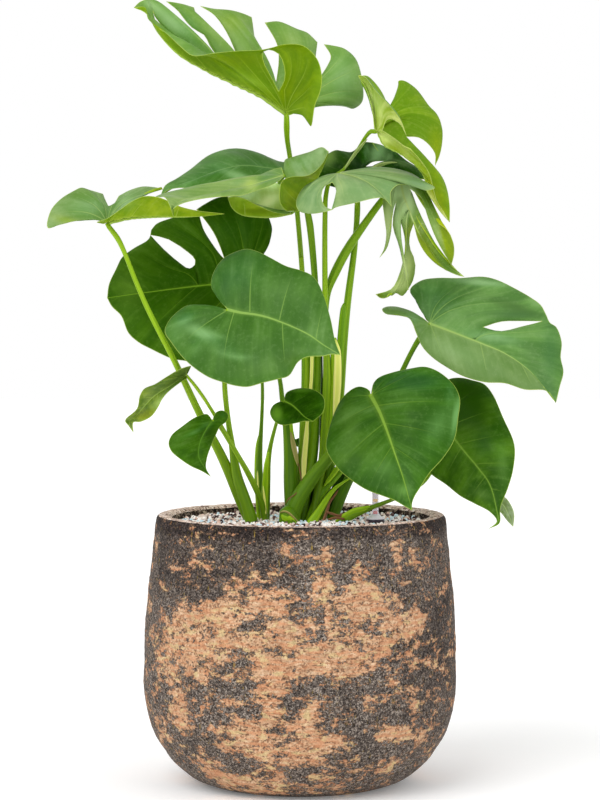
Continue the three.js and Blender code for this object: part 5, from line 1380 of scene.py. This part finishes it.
def stoneware_finish(grit):
    """The planter's outside: a dark gritty skin with painted shade, broken through to pale and orange clay.
    """
    finish, w = start_finish("stoneware skin broken through to clay")
    skin = gritty(w, grit, (40, 34, 32), (98, 88, 81), (204, 190, 176), 1.25, 0.65)
    clay = gritty(w, grit, (142, 106, 80), (212, 172, 136), (242, 216, 182), 2.0, 0.5)
    ragged = w.grain(9, 8, 0.66, stretch=(1, 1, 1.9))
    flakes = w.grain(17, 5, 0.62, stretch=(0.8, 0.8, 1.7))
    islands = w.grain(34, 4, 0.6, stretch=(1, 1, 1.3))
    crumbs = w.grain(2.6, 3, 0.7)
    field = w.mark("bare_clay")
    for spread, share in ((ragged, 3.4), (flakes, 3.4), (islands, 2.8), (crumbs, 2.2)):
        field = w.plus(field, w.times(w.minus(spread, 0.5), share))
    bare = w.ramp(field, -0.08, 0.12)
    strata = w.grain(12, 5, 0.62, stretch=(0.7, 0.7, 4.2))
    tone = w.mix(w.ramp(strata, 0.44, 0.6, 0.0, 0.7), clay["Colour"], colour(206, 142, 102))
    pale = w.grain(15, 4, 0.6, stretch=(1, 1, 2.0))
    tone = w.mix(w.ramp(pale, 0.53, 0.64, 0.0, 0.7), tone, colour(216, 194, 142))
    cracks = w.ramp(w.grain(4.5, 4, 0.7, stretch=(0.3, 0.3, 2.4)), 0.56, 0.7, 0.0, 0.75)
    tone = w.mix(cracks, tone, colour(112, 76, 54))
    edge = w.times(w.ramp(field, -0.34, -0.06), w.ramp(field, 0.0, 0.3, 1.0, 0.0))
    tone = w.mix(w.times(edge, 0.5), tone, colour(184, 112, 62))
    # Painted shade multiplied into the dark skin.
    dark = w.mix(w.mark("painted_pot_shade"), skin["Colour"], colour(136, 128, 130), "MULTIPLY")
    dark = w.mix(w.ramp(field, -0.4, -0.04, 0.0, 0.4), dark, colour(138, 114, 94))
    ochre = w.ramp(w.grain(7, 6, 0.75, stretch=(2.4, 2.4, 0.5)), 0.6, 0.67, 0.0, 0.8)
    dark = w.mix(ochre, dark, colour(168, 140, 62))
    orange = w.ramp(w.grain(5, 5, 0.7), 0.63, 0.7, 0.0, 0.75)
    dark = w.mix(orange, dark, colour(190, 124, 72))
    height = w.minus(w.times(skin["Height"], 0.8), w.times(bare, 0.5))
    height = w.plus(height, w.times(strata, 0.5))
    height = w.minus(height, w.times(cracks, 0.3))
    w.surface({
        "Base Color": w.mix(bare, dark, tone), "Roughness": w.ramp(ragged, 0.3, 0.7, 0.82, 0.98),
        "Normal": w.bump(height, 0.9, 1.3).outputs[0], "Specular IOR Level": 0.2})
    return finish


def grit_finish(name, grit, shades, grain_size, relief, light_grains, painted_glow=0.0):
    """Plain gritty clay. The shades are its dark, its body and its light grains; a glow is painted light.
    """
    finish, w = start_finish(name)
    clay = gritty(w, grit, *shades, grain_size, light_grains)
    w.surface({
        "Base Color": clay["Colour"], "Roughness": w.ramp(clay["Height"], 0, 1, 0.98, 0.85),
        "Normal": w.bump(clay["Height"], 0.8, relief).outputs[0], "Specular IOR Level": 0.2,
        "Emission Color": clay["Colour"], "Emission Strength": painted_glow})
    return finish


def grain_finish():
    """Loose grains of pumice and lava: each has its own shade, a pitted surface and a painted glow."""
    finish, w = start_finish("granulate of pumice and lava, with painted glow")
    ramp = w.put("ShaderNodeValToRGB", {"Fac": w.mark("shade")})
    ramp.color_ramp.interpolation = "CONSTANT"
    shades = [(0.0, colour(58, 40, 40)), (0.14, colour(110, 84, 80)),
              (0.28, colour(220, 202, 192)), (0.48, colour(250, 244, 240)),
              (0.76, colour(208, 230, 240)), (0.9, colour(222, 188, 172))]
    stops = ramp.color_ramp.elements
    stops[0].position, stops[0].color = shades[0]
    stops[1].position, stops[1].color = shades[1]
    for position, shade in shades[2:]:
        stops.new(position).color = shade
    pits = w.grain(1.1, 3, 0.7)
    tone = w.mix(w.ramp(pits, 0.52, 0.68, 0.0, 0.4), ramp.outputs["Color"], colour(110, 90, 84))
    # The grains glow a little: painted light that lifts them where the leaves shade them.
    w.surface({
        "Base Color": tone, "Roughness": w.ramp(pits, 0.3, 0.7, 0.8, 0.97),
        "Normal": w.bump(pits, 0.7, 0.5).outputs[0], "Specular IOR Level": 0.2,
        "Emission Color": tone, "Emission Strength": 0.15})
    return finish


def plastic_finish(name, body, scuffed, roughness, see_through=0.0, bending=1.46, painted_glow=0.0):
    """Moulded plastic with light scuffs. see_through is how much light it lets pass; a glow is painted
    light.
    """
    finish, w = start_finish(name)
    wear = w.grain(5, 6, 0.7, stretch=(1, 1, 0.3))
    tone = w.mix(w.ramp(wear, 0.5, 0.72, 0.0, 0.3), colour(*body), colour(*scuffed))
    w.surface({
        "Base Color": tone, "Roughness": w.ramp(wear, 0.35, 0.7, roughness, roughness + 0.18),
        "Normal": w.bump(wear, 0.2, 0.2).outputs[0], "Transmission Weight": see_through,
        "IOR": bending, "Emission Color": tone, "Emission Strength": painted_glow})
    return finish


# Stalks


def stalk_tube(route, tone, knee):
    """A stalk from its blade to its foot, with a knee below the blade and a shallow channel."""
    line = SmoothLine([place(p) for p in route])
    radii_at = SmoothLine([(p[3], 0, 0) for p in route])
    length = line.length(60)
    count = max(12, int(length / STALK_RING_EVERY))
    t = line.evenly(count)
    from_blade = np.linspace(0, length, count)
    swelling = np.exp(-((from_blade - KNEE_BELOW_BLADE) / KNEE_REACH) ** 2)
    radii = radii_at.at(t)[:, 0] * (1 + knee * swelling)

    def ring(angles, k):
        open_side = np.exp(-((angles - math.pi) / CHANNEL_HALF_ANGLE) ** 2)
        return 1 - CHANNEL_DEPTH * open_side * smooth_steps(*CHANNEL_BEGINS, from_blade[k])

    points, faces = tube_shape(line.at(t), radii, STALK_SIDES, ring)
    above_fill = np.maximum(points[::STALK_SIDES, 2] - FILL_HEIGHT, 0)
    return points, faces, stalk_marks(ring_angles(STALK_SIDES), above_fill, tone)


def rooted(route):
    """A stalk that stands in the fill goes on straight down below its lowest stated point."""
    x, z, depth, radius = route[-1]
    if z > FILL_HEIGHT + 10:
        return route
    return [*route, (x, FILL_HEIGHT - ROOT_DEPTH, depth, radius * 0.85)]


def join_shapes(shapes):
    """Several (points, faces, marks) as one."""
    points, faces, marks, start = [], [], {}, 0
    for some_points, some_faces, some_marks in shapes:
        points.append(some_points)
        faces += [tuple(k + start for k in f) for f in some_faces]
        for mark, values in some_marks.items():
            marks.setdefault(mark, []).append(values)
        start += len(some_points)
    return np.vstack(points), faces, {m: np.concatenate(v) for m, v in marks.items()}


def grow_shoot(name, stalks, finishes):
    """A shoot's stalks, the sheaths, husks, scars and roots that sit on them, and painted shadows."""
    shapes, kinds = [], []
    for stalk, route in stalks.items():
        if stalk in LEAVES:
            leaf = LEAVES[stalk]
            x, z, *stated = leaf["rib"][0]
            depth = leaf.get("lean", {"depth": 0})["depth"] + (stated[0] if stated else 0)
            route = [(x, z, depth, route[0][3] * 0.9), *route]
        knee = KNEE_OF_THICK_STALK if route[1][3] > THICK_STALK else KNEE_OF_SLIM_STALK
        shapes.append(stalk_tube(rooted(route), STALK_TONES.get(stalk, 0.0), knee))
        kinds += [0] * len(shapes[-1][1])
    for shoot, finish, half_thickness, path in STRIPS:
        if shoot == name:
            shapes.append(strip_shape(path, half_thickness))
            kinds += [list(finishes).index(finish)] * len(shapes[-1][1])
    points, faces, marks = join_shapes(shapes)
    piece = build_piece(f"stalks_{name}", points, faces, list(finishes.values()), kinds, marks)
    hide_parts(f"stems_{name}")


# Planter and fill

# The wall as (radius, height) points: from the foot to the rim, over it, and down inside.
POT_OUTSIDE = [(0, 0), (60, 0), (92, 0), (97, 0.6), (107, 3.6), (119.4, 9), (138.4, 25),
               (150.6, 41), (160, 58), (167, 80), (169.8, 103), (170, 138), (168.6, 180), (164, 230),
               (160.7, 258), (158, 284), (157, 289), (155.2, 291.8)]
POT_RIM = [(155.2, 291.8), (152, 293), (146, 293), (142.4, 292), (140.4, 289.6)]
POT_INSIDE = [(140.4, 289.6), (138, 284), (134, 281), (137, 262), (146, 180), (148, 138),
              (126, 46), (96, POT_FLOOR), (40, POT_FLOOR), (0.5, POT_FLOOR)]
OUTSIDE, RIM, INSIDE = range(3)

# Where clay shows through the dark skin at the front: across, height, half width, half
# height in millimetres, and how surely it shows. The rest of the planter is scattered.
BARE_CLAY_AT_FRONT = [
    (30, 262, 9, 9, 0.9), (23, 230, 13, 17, 0.9), (11, 256, 11, 9, 0.6), (-40, 207, 38, 19, 1.0),
    (63, 219, 24, 14, 1.0), (56, 188, 54, 21, 1.1), (-104, 193, 34, 22, 0.9),
    (-48, 158, 58, 21, 1.1), (37, 157, 50, 16, 0.9), (-29, 120, 16, 24, 1.0),
    (-123, 146, 26, 30, 0.8), (-17, 68, 52, 20, 1.4), (107, 73, 22, 9, 0.9), (103, 38, 17, 8, 0.8),
    (-130, 92, 16, 20, 0.8), (-57, 19, 40, 13, 1.0), (32, 31, 20, 13, 0.5), (107, 265, 6, 10, 0.8),
    (126, 258, 7, 8, 0.7), (112, 195, 24, 17, 0.8), (114, 146, 14, 9, 0.7), (-66, 230, 17, 10, 0.7),
    (-8, 274, 10, 5, 0.6), (79, 112, 14, 8, 0.5), (-104, 31, 16, 10, 0.7), (4, 96, 14, 10, 0.6),
    (-5, 182, 30, 16, 0.9), (145, 110, 8, 26, 0.4), (-75, 80, 14, 8, 0.4), (70, 250, 9, 7, 0.5),
]


def bare_clay_field(x, y, z):
    """How surely the clay shows at a point of the outside, from about -1 to 1."""
    angle = math.atan2(x, -y)
    field = -0.46
    if abs(angle) < FRONT_REACH:
        across = math.sin(angle) * POT_RADIUS if abs(angle) < 1.35 else angle * 120
        front = smooth_steps(FRONT_REACH, FRONT_FULL, abs(angle))
        for cx, cz, wide, high, sure in BARE_CLAY_AT_FRONT:
            d = ((across - cx) / wide) ** 2 + ((z - cz) / high) ** 2
            if d < 5:
                field += front * sure * 0.86 * math.exp(-d * d * 0.5)
    else:
        front = 0
    sparse = noise.fractal(Vector((x, y, z * 1.9)) * 0.016, 0.9, 2.1, 4)
    band = 0.35 * math.exp(-((z - 150) / 70) ** 2) - 0.25 * smooth_steps(225, 270, z)
    field -= 0.3 * smooth_steps(266, 282, z)
    return min(field, 0.42) + 0.25 * sparse + (1 - front) * (0.5 * sparse + band + 0.16)


def painted_pot_shade(x, y, z):
    """How much painted shade darkens the skin at a point of the outside, from 0 to 1."""
    # Painted shade below the rim, at the upper left of the front and down the right side, broken up by
    # noise.
    dark = 0.85 * smooth_steps(268, 286, z)
    if y < 0:
        dark += 0.75 * math.exp(-((x + 105) / 75) ** 2 - ((z - 245) / 42) ** 2)
        dark += 0.7 * math.exp(-((x - 152) / 34) ** 2 - ((z - 175) / 95) ** 2)
    painted_light_and_shade = noise.fractal(Vector((x, y, z)) * 0.02, 0.9, 2.1, 3)
    return min(max(dark + 0.3 * painted_light_and_shade, 0), 1)


def roughened(points, zones):
    """The turned wall with its surface uneven and its rim wavy."""
    out = []
    for p, zone in zip(points, zones):
        at = Vector(p)
        if zone == INSIDE or p[2] < 0.3:
            rough = 0.25 * noise.noise(at * 0.4) if p[2] > 200 else 0.0
        else:
            rough = (0.9 * noise.noise(at * 0.045) + 0.45 * noise.noise(at * 0.16)
                     + 0.3 * noise.noise(at * 0.42))
        pull = rough - 0.45
        radius = math.hypot(p[0], p[1])
        slope = 1 if zone == OUTSIDE and p[2] > 30 else 0.55
        share = (radius + pull * slope) / max(radius, 1)
        lift = 0.0
        if zone == RIM:
            lift = 0.7 * noise.noise(at * 0.03) + 0.4 * noise.noise(at * 0.2) - 0.5
        out.append((p[0] * share, p[1] * share, p[2] + lift))
    return np.array(out)


def make_planter(finishes):
    zones, profile = [], []
    for zone, outline in enumerate((POT_OUTSIDE, POT_RIM, POT_INSIDE)):
        line = SmoothLine([(r, z, 0) for r, z in outline])
        t = line.evenly(max(6, int(line.length(80) / POT_SPACINGS[zone])))
        rows = line.at(t)[:, :2]
        rows = rows[1:] if profile else rows
        profile += [tuple(r) for r in rows]
        zones += [zone] * len(rows)
    profile[0] = (0.5, 0.0)
    zones = np.repeat(zones, POT_SIDES)
    points, faces = turned_shape(profile, POT_SIDES)
    points = roughened(points, zones)
    field = [bare_clay_field(*p) if zone == OUTSIDE else -0.5 for p, zone in zip(points, zones)]
    sunk = np.array([smooth_steps(-0.1, 0.25, f) for f in field]) * (zones == OUTSIDE)
    radius = np.hypot(points[:, 0], points[:, 1])
    points[:, :2] *= (1 - 0.5 * sunk / np.maximum(radius, 20))[:, None]
    # The painted shade at each point of the outside.
    fired = [painted_pot_shade(*p) if zone == OUTSIDE else 0.0 for p, zone in zip(points, zones)]
    points[:, 0] += [0.9 * smooth_steps(120, 280, p[2]) for p in points]
    kinds = [int(max(zones[f[0]], zones[f[2]])) for f in faces]
    piece = build_piece("planter", points, faces, finishes, kinds,
                        {"bare_clay": field, "painted_pot_shade": fired})
    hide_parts("pot")


def round_grain():
    """A grain's plain form: the twelve points and twenty faces of an icosahedron."""
    g = (1 + math.sqrt(5)) / 2
    points = [(-1, g, 0), (1, g, 0), (-1, -g, 0), (1, -g, 0), (0, -1, g), (0, 1, g),
              (0, -1, -g), (0, 1, -g), (g, 0, -1), (g, 0, 1), (-g, 0, -1), (-g, 0, 1)]
    faces = [(0, 11, 5), (0, 5, 1), (0, 1, 7), (0, 7, 10), (0, 10, 11), (1, 5, 9), (5, 11, 4),
             (11, 10, 2), (10, 7, 6), (7, 1, 8), (3, 9, 4), (3, 4, 2), (3, 2, 6), (3, 6, 8),
             (3, 8, 9), (4, 9, 5), (2, 4, 11), (6, 2, 10), (8, 6, 7), (9, 8, 1)]
    return np.array(points) / math.sqrt(1 + g * g), faces


def grain_spots(chance):
    """Where the grains lie: a full layer, and two sparse ones on it, clear of the gauge."""
    spots = []
    half_width, reach_out = GAP_BEFORE_GAUGE
    reach = int(FILL_RADIUS / GRAIN_SPACING) + 1
    for layer, share, lift in GRAIN_LAYERS:
        for i in range(-reach, reach + 1):
            for j in range(-reach, reach + 1):
                x = (i + 0.5 * (j % 2) + chance.uniform(-GRAIN_SHIFT, GRAIN_SHIFT)) * GRAIN_SPACING
                y = (j + chance.uniform(-GRAIN_SHIFT, GRAIN_SHIFT)) * GRAIN_SPACING * 0.87
                if chance.random() > share or math.hypot(x, y) > FILL_RADIUS - 1:
                    continue
                gap = GAP_ROUND_GAUGE_ON_TOP if layer else GAP_ROUND_GAUGE_IN_BED
                if math.hypot(x - GAUGE_X, y - GAUGE_Y) < gap:
                    continue
                if layer and abs(x - GAUGE_X) < half_width and -reach_out < y - GAUGE_Y < 0:
                    continue
                wave = 1.3 * noise.noise(Vector((x, y, 0)) * 0.03)
                spots.append((x, y, FILL_HEIGHT - 0.6 + lift + wave))
    return spots


def scatter_granulate(finish):
    """Loose grains on a dark bed that closes the gaps between them with painted shade."""
    chance = np.random.default_rng(7)
    form, form_faces = round_grain()
    points, faces, shades = [], [], []
    for spot in grain_spots(chance):
        size = chance.uniform(*GRAIN_RADII)
        stretch = chance.uniform(*GRAIN_STRETCH, 3)
        bent = form * chance.uniform(*GRAIN_DENTS, (len(form), 1)) * stretch * size
        axis = chance.normal(size=3)
        turn = np.array(Vector(axis).to_track_quat("Z", "Y").to_matrix())
        start = len(points) * len(form)
        points.append(bent @ turn.T + spot)
        faces += [tuple(k + start for k in f) for f in form_faces]
        shades += [chance.random()] * len(form)
    radii = [FILL_RADIUS * k / BED_RINGS if k else 0.5 for k in range(BED_RINGS + 1)]
    bed, bed_faces = turned_shape([(r, FILL_HEIGHT - BED_BELOW_FILL) for r in radii], BED_SIDES)
    start = len(points) * len(form)
    faces += [tuple(k + start for k in f) for f in bed_faces]
    # The bed takes the darkest shade of the grains: painted shade in the gaps between them.
    shades += [0.02] * len(bed)
    piece = build_piece("granulate_top", np.vstack([*points, bed]), faces, [finish],
                        marks={"shade": shades}, smooth=False)
    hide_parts("granulate")


# Water level gauge

GAUGE_TOP = FILL_HEIGHT - 0.5

# Each piece's finish, the node it replaces, its slot and its (radius, height) points.
GAUGE = {
    "gauge_sleeve": ("dark", "gauge_well", "gauge_dark", [
        (0.1, 46), (9.4, 46), (9.4, GAUGE_TOP + 1.8), (9.1, GAUGE_TOP + 2.2), (8.2, GAUGE_TOP + 2.2),
        (7.8, GAUGE_TOP + 1.6), (7.8, 48), (0.1, 48)]),
    "gauge_collar": ("dark", None, "gauge_dark", [
        (7.6, GAUGE_TOP + 1.2), (9.3, GAUGE_TOP + 1.2), (9.6, GAUGE_TOP + 1.6), (9.5, GAUGE_TOP + 4.6),
        (9.2, GAUGE_TOP + 4.9), (7.6, GAUGE_TOP + 4.9), (7.6, GAUGE_TOP + 1.2)]),
    "gauge_cap": ("smoky", "gauge_cap", "gauge_cap", [
        (3.6, GAUGE_TOP + 5), (9.4, GAUGE_TOP + 5), (9.7, GAUGE_TOP + 5.4), (9.6, GAUGE_TOP + 6.4),
        (8.6, GAUGE_TOP + 6.9), (6.8, GAUGE_TOP + 7.8), (5.4, GAUGE_TOP + 9.2),
        (4.5, GAUGE_TOP + 10.2), (4.2, GAUGE_TOP + 10.8), (3.8, GAUGE_TOP + 10.8),
        (3.6, GAUGE_TOP + 10.4), (3.6, GAUGE_TOP + 5)]),
    "gauge_tube": ("clear", "gauge_tube", "gauge_clear", [
        (2.6, GAUGE_TOP + 8.4), (3.5, GAUGE_TOP + 8.4), (3.5, 346.5), (3.3, 348.4), (2.7, 349.6),
        (1.6, 350), (0.1, 350), (0.1, 348.2), (1.8, 347.8), (2.6, 346.4), (2.6, GAUGE_TOP + 8.4)]),
    "gauge_float": ("red", "gauge_float", "gauge_float", [
        (0.1, 48.4), (6, 48.4), (6.4, 52), (6.4, 80), (5, 83), (1.5, 84), (1.5, 291.6),
        (2.3, 292.2), (2.4, 294.8), (1.6, 295.6), (0.1, 295.6)]),
    "gauge_mark": ("yellow", None, "gauge_float", [
        (1.6, 305.6), (2.45, 305.6), (2.45, 308.4), (1.6, 308.4), (1.6, 305.6)]),
}


def make_gauge(finishes):
    for name, (finish, node, slot, profile) in GAUGE.items():
        points, faces = turned_shape(profile, GAUGE_SIDES)
        piece = build_piece(name, points + (GAUGE_X, GAUGE_Y, 0), faces, [finishes[finish]])
        if node:
            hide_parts(node)


# The plant, put together

# Flesh, its shade, its light, its veins and how strongly they show, for each blade finish.
# Many are lit and shaded copies of one leaf green: upper right back and left back are dark
# with painted shade, as they lie under other blades; top right pale, upper low painted lit,
# upper middle sheen and pale sheen are pale with painted light; the lit-through and yellow
# undersides are bright with a painted glow of light through the blade.
GREENS = {
    "top, upper side": ((112, 157, 66), (90, 140, 44), (150, 184, 116), (168, 196, 100), 0.4),
    "top, lit through": ((118, 158, 2), (94, 138, 0), (146, 180, 44), (168, 196, 66), 0.45),
    "top right, pale": ((204, 224, 122), (146, 182, 36), (220, 232, 162), (206, 222, 130), 0.4),
    "top right, lit through": ((118, 160, 12), (92, 140, 0), (166, 194, 80), (176, 200, 80), 0.4),
    "far left, upper side": ((118, 156, 84), (92, 136, 52), (152, 184, 122), (170, 196, 110), 0.4),
    "yellow underside": ((150, 183, 26), (112, 156, 0), (184, 206, 92), (192, 210, 90), 0.4),
    "upper back": ((82, 137, 54), (60, 116, 28), (136, 176, 112), (120, 164, 84), 0.25),
    "pale sheen": ((132, 166, 90), (104, 146, 66), (162, 192, 122), (178, 202, 116), 0.35),
    "shaded underside": ((128, 163, 22), (98, 140, 0), (160, 188, 70), (166, 190, 84), 0.4),
    "upper middle, sheen": ((146, 183, 116), (100, 148, 36), (172, 200, 140), (180, 204, 120), 0.3),
    "upper low, pale": ((170, 206, 128), (140, 176, 76), (200, 220, 156), (206, 222, 150), 0.3),
    "upper front": ((143, 174, 109), (114, 152, 88), (168, 192, 134), (180, 202, 124), 0.35),
    "upper right back": ((40, 94, 0), (14, 58, 0), (120, 160, 96), (96, 140, 40), 0.25),
    "drooping": ((104, 142, 40), (80, 124, 20), (164, 190, 124), (176, 198, 118), 0.4),
    "left back": ((58, 104, 10), (38, 84, 0), (94, 136, 50), (116, 156, 38), 0.3),
    "front": ((67, 117, 38), (50, 100, 24), (116, 158, 90), (136, 174, 78), 0.45),
    "right, upper half": ((92, 142, 64), (66, 116, 44), (134, 170, 108), (142, 176, 88), 0.4),
    "right, lower half": ((107, 143, 76), (88, 128, 58), (138, 168, 110), (150, 178, 94), 0.4),
    "low front": ((54, 108, 14), (34, 86, 0), (104, 152, 74), (132, 170, 56), 0.25),
    "low back": ((76, 127, 20), (38, 88, 0), (116, 160, 74), (124, 164, 56), 0.3),
    "small left": ((54, 102, 8), (34, 78, 0), (96, 140, 60), (80, 124, 30), 0.15),
    "small round": ((42, 94, 2), (28, 72, 0), (92, 148, 40), (130, 176, 50), 0.05),
    "low small": ((172, 192, 154), (112, 150, 60), (184, 204, 156), (180, 204, 136), 0.3),
    "small folded": ((112, 142, 32), (66, 102, 0), (160, 184, 96), (150, 178, 80), 0.3),
    "dull underside": ((104, 146, 34), (84, 128, 14), (128, 168, 62), (152, 182, 84), 0.4),
}
# The far half of the upper low blade glows: painted light, as it lies in the shade of the blades above it.
PAINTED_GLOW = {"upper low, pale": 0.36}
GLOSS = {"upper right back": 0.03, "left back": 0.03, "small left": 0.05, "small round": 0.05,
         "low back": 0.1, "low front": 0.12, "front": 0.14}

# The flesh, light and dark of each midrib finish.
RIB_GREENS = {
    "light": ((160, 190, 70), (180, 206, 96), (136, 172, 44)),
    "middle": ((140, 176, 50), (160, 192, 74), (112, 154, 30)),
    "dark": ((88, 134, 24), (106, 150, 40), (66, 112, 12)),
    "faint": ((92, 144, 60), (112, 158, 84), (80, 132, 50)),
}

# For each blade: the near half's upper side and underside, the far half's, the midrib and
# the midrib's half width at its foot.
DULL = "dull underside"
BLADE_LOOKS = {
    "top": ("top, upper side", "top, lit through", "top, upper side", DULL, "light", 2.0),
    "top_right": ("top, upper side", "top right, pale", "top right, lit through", DULL, "light", 0.5),
    "far_left": ("far left, upper side", "yellow underside", "far left, upper side",
                 "yellow underside", "light", 1.4),
    "upper_back": ("upper back", DULL, "upper back", DULL, "faint", 0.6),
    "upper_left": ("pale sheen", DULL, "pale sheen", DULL, "light", 1.0),
    "upper_low": ("top, upper side", "shaded underside", "upper low, pale", "shaded underside",
                  "light", 0.9),
    "upper_middle": ("top, upper side", "shaded underside", "upper middle, sheen", DULL,
                     "light", 0.9),
    "upper_front": ("upper front", DULL, "upper front", DULL, "light", 1.1),
    "upper_right_back": ("upper right back", DULL, "upper right back", DULL, "middle", 1.0),
    "drooping": ("drooping", "yellow underside", "drooping", "yellow underside", "light", 1.0),
    "left_back": ("left back", DULL, "left back", DULL, "middle", 1.2),
    "front": ("front", DULL, "front", DULL, "middle", 1.7),
    "right": ("right, lower half", DULL, "right, upper half", DULL, "light", 1.5),
    "low_front": ("low front", DULL, "low front", DULL, "middle", 2.1),
    "low_back": ("low back", DULL, "low back", DULL, "dark", 1.2),
    "low_small": ("low small", DULL, "low small", DULL, "light", 0.5),
    "small_round": ("small round", DULL, "small round", DULL, "middle", 0.7),
    "small_left": ("small left", DULL, "small left", DULL, "dark", 0.8),
    "small_folded": ("small folded", "small folded", "small folded", "small folded", "light", 0.6),
    "tiny": ("low back", DULL, "low back", DULL, "dark", 0.5),
}


def blade_side(green, tissue):
    *shades, vein_strength = GREENS[green]
    below = "underside" in green or "lit through" in green
    return blade_finish(f"blade, {green}", tissue, shades, vein_strength,
                        streaks=0.06 if green == "front" else 0.14,
                        roughness=0.56 if below else 0.46, relief=0.5 if below else -0.5,
                        gloss=0.12 if below else GLOSS.get(green, 0.2), painted_glow=PAINTED_GLOW.get(green, 0.0))


tissue = leaf_tissue()
fibre = stalk_fibre()
grit = clay_grit()
blade_finishes = {green: blade_side(green, tissue) for green in GREENS}
rib_finishes = {green: stalk_finish(f"midrib, {green}", fibre, *shades)
                for green, shades in RIB_GREENS.items()}
stalk_finishes = {
    "skin": stalk_finish("stalk skin", fibre, (130, 172, 8), (168, 202, 40), (76, 120, 0),
                         foot_shade=0.6, scars=0.3),
    "fresh": stalk_finish("sheath, fresh green", fibre, (116, 164, 6), (150, 190, 36), (76, 124, 0)),
    "bright": stalk_finish("sheath, bright green", fibre, (162, 206, 20), (190, 220, 64),
                           (112, 166, 0)),
    # The cream sheath glows: painted light where it stands in the shade of the leaves.
    "cream": stalk_finish("sheath, cream, with painted glow", fibre, (240, 238, 128), (250, 246, 180),
                          (206, 218, 84), scars=0.1, painted_glow=0.14),
    "pale": stalk_finish("sheath, pale edge", fibre, (168, 188, 106), (198, 210, 150),
                         (112, 146, 50)),
    # Dark strips put in the gaps between the stalks where the shoot lies in shade: painted shadow.
    "deep": stalk_finish("sheet of painted shade between the stalks", fibre, (42, 74, 12), (60, 98, 22),
                         (26, 50, 6), gloss=0.05),
    "dry": stalk_finish("husk, dry tan", fibre, (176, 164, 96), (204, 190, 128), (140, 142, 56),
                        (130, 84, 50), scars=0.5),
    "brown": stalk_finish("husk and roots, brown", fibre, (146, 100, 64), (176, 128, 90),
                          (92, 58, 36), (60, 36, 24), scars=0.5),
}

for name, leaf in LEAVES.items():
    *greens, rib_green, rib_radius = BLADE_LOOKS[name]
    finishes = [*(blade_finishes[green] for green in greens), rib_finishes[rib_green]]
    grow_blade(name, leaf, finishes, rib_radius)
for name, stalks in STALKS.items():
    grow_shoot(name, stalks, stalk_finishes)
make_planter([
    stoneware_finish(grit),
    # The rim is rubbed pale, and glows a little: painted light on its top.
    grit_finish("stoneware rim, rubbed pale, with painted glow", grit,
                ((104, 78, 66), (214, 188, 172), (250, 238, 230)),
                grain_size=2.4, relief=0.9, light_grains=0.9, painted_glow=0.1),
    grit_finish("stoneware inside, dark", grit, ((18, 12, 10), (60, 44, 36), (222, 200, 178)),
                grain_size=2.8, relief=1.4, light_grains=0.6),
])
scatter_granulate(grain_finish())
# The glow of the cap, tube, float and mark is painted light that lifts them in the leaves' shade.
make_gauge({
    "dark": plastic_finish("gauge sleeve, dark plastic", (52, 42, 56), (86, 78, 92), 0.4),
    "smoky": plastic_finish("gauge cap, smoky plastic", (226, 222, 230), (196, 192, 202), 0.22,
                            painted_glow=0.12),
    "clear": plastic_finish("gauge tube, clear plastic", (226, 222, 226), (206, 202, 208), 0.12,
                            see_through=0.75, bending=1.08, painted_glow=0.06),
    "red": plastic_finish("gauge float, red plastic", (224, 30, 2), (170, 12, 2), 0.35, painted_glow=0.35),
    "yellow": plastic_finish("gauge mark, yellow", (250, 200, 20), (232, 180, 12), 0.4, painted_glow=0.45),
})

# Floor, light and camera


def floor_finish():
    finish, w = start_finish("plain pale floor")
    speck = w.grain(400, 2)
    tone = w.mix(w.ramp(speck, 0.3, 0.7), colour(250, 250, 250), colour(253, 253, 253))
    w.surface({"Base Color": tone, "Roughness": 0.9, "Specular IOR Level": 0.1,
               "Emission Color": tone, "Emission Strength": 0.12})
    return finish


def lay_floor():
    mesh = bpy.data.meshes.new("floor")
    s = FLOOR_REACH
    mesh.from_pydata([(-s, -s, 0), (s, -s, 0), (s, s, 0), (-s, s, 0)], [], [(0, 1, 2, 3)])
    mesh.materials.append(floor_finish())
    floor = bpy.data.objects.new("floor", mesh)
    bpy.context.scene.collection.objects.link(floor)


def hang_sun(name, towards, strength, softness):
    """A wide, soft light that is the same all over the floor."""
    lamp = bpy.data.lights.new(name, "SUN")
    lamp.energy = strength
    lamp.angle = math.radians(softness)
    light = bpy.data.objects.new(name, lamp)
    bpy.context.scene.collection.objects.link(light)
    light.rotation_euler = Vector(towards).to_track_quat("-Z", "Y").to_euler()


def light_the_studio():
    """White all round for the eye, with a dimmer even light and two soft lamps on the plant."""
    world = bpy.data.worlds.new("white studio")
    world.use_nodes = True
    w = Wiring(world.node_tree)
    ground = world.node_tree.nodes["Background"]
    ground.inputs["Color"].default_value = (1, 1, 1, 1)
    path = w.put("ShaderNodeLightPath").outputs
    seen = w.math("MAXIMUM", path["Is Camera Ray"], path["Is Transmission Ray"])
    w.give(w.ramp(seen, 0, 1, 0.78, 1.0), ground.inputs["Strength"])
    bpy.context.scene.world = world
    hang_sun("softbox left", towards=(0.62, 0.75, -0.95), strength=1.35, softness=44)
    hang_sun("softbox right", towards=(-0.8, 0.5, -0.6), strength=0.4, softness=60)


def set_camera():
    camera = bpy.data.cameras.new("photo")
    camera.sensor_width = 36
    camera.lens = CAMERA_LENS
    camera.clip_end = 50
    eye = bpy.data.objects.new("photo", camera)
    bpy.context.scene.collection.objects.link(eye)
    eye.location = (0, -EYE_DISTANCE * MM, EYE_HEIGHT * MM)
    aim = Vector(CAMERA_AIM) - eye.location
    eye.rotation_euler = aim.to_track_quat("-Z", "Y").to_euler()
    bpy.context.scene.camera = eye


lay_floor()
light_the_studio()
set_camera()
bpy.context.scene.view_settings.view_transform = "Standard"
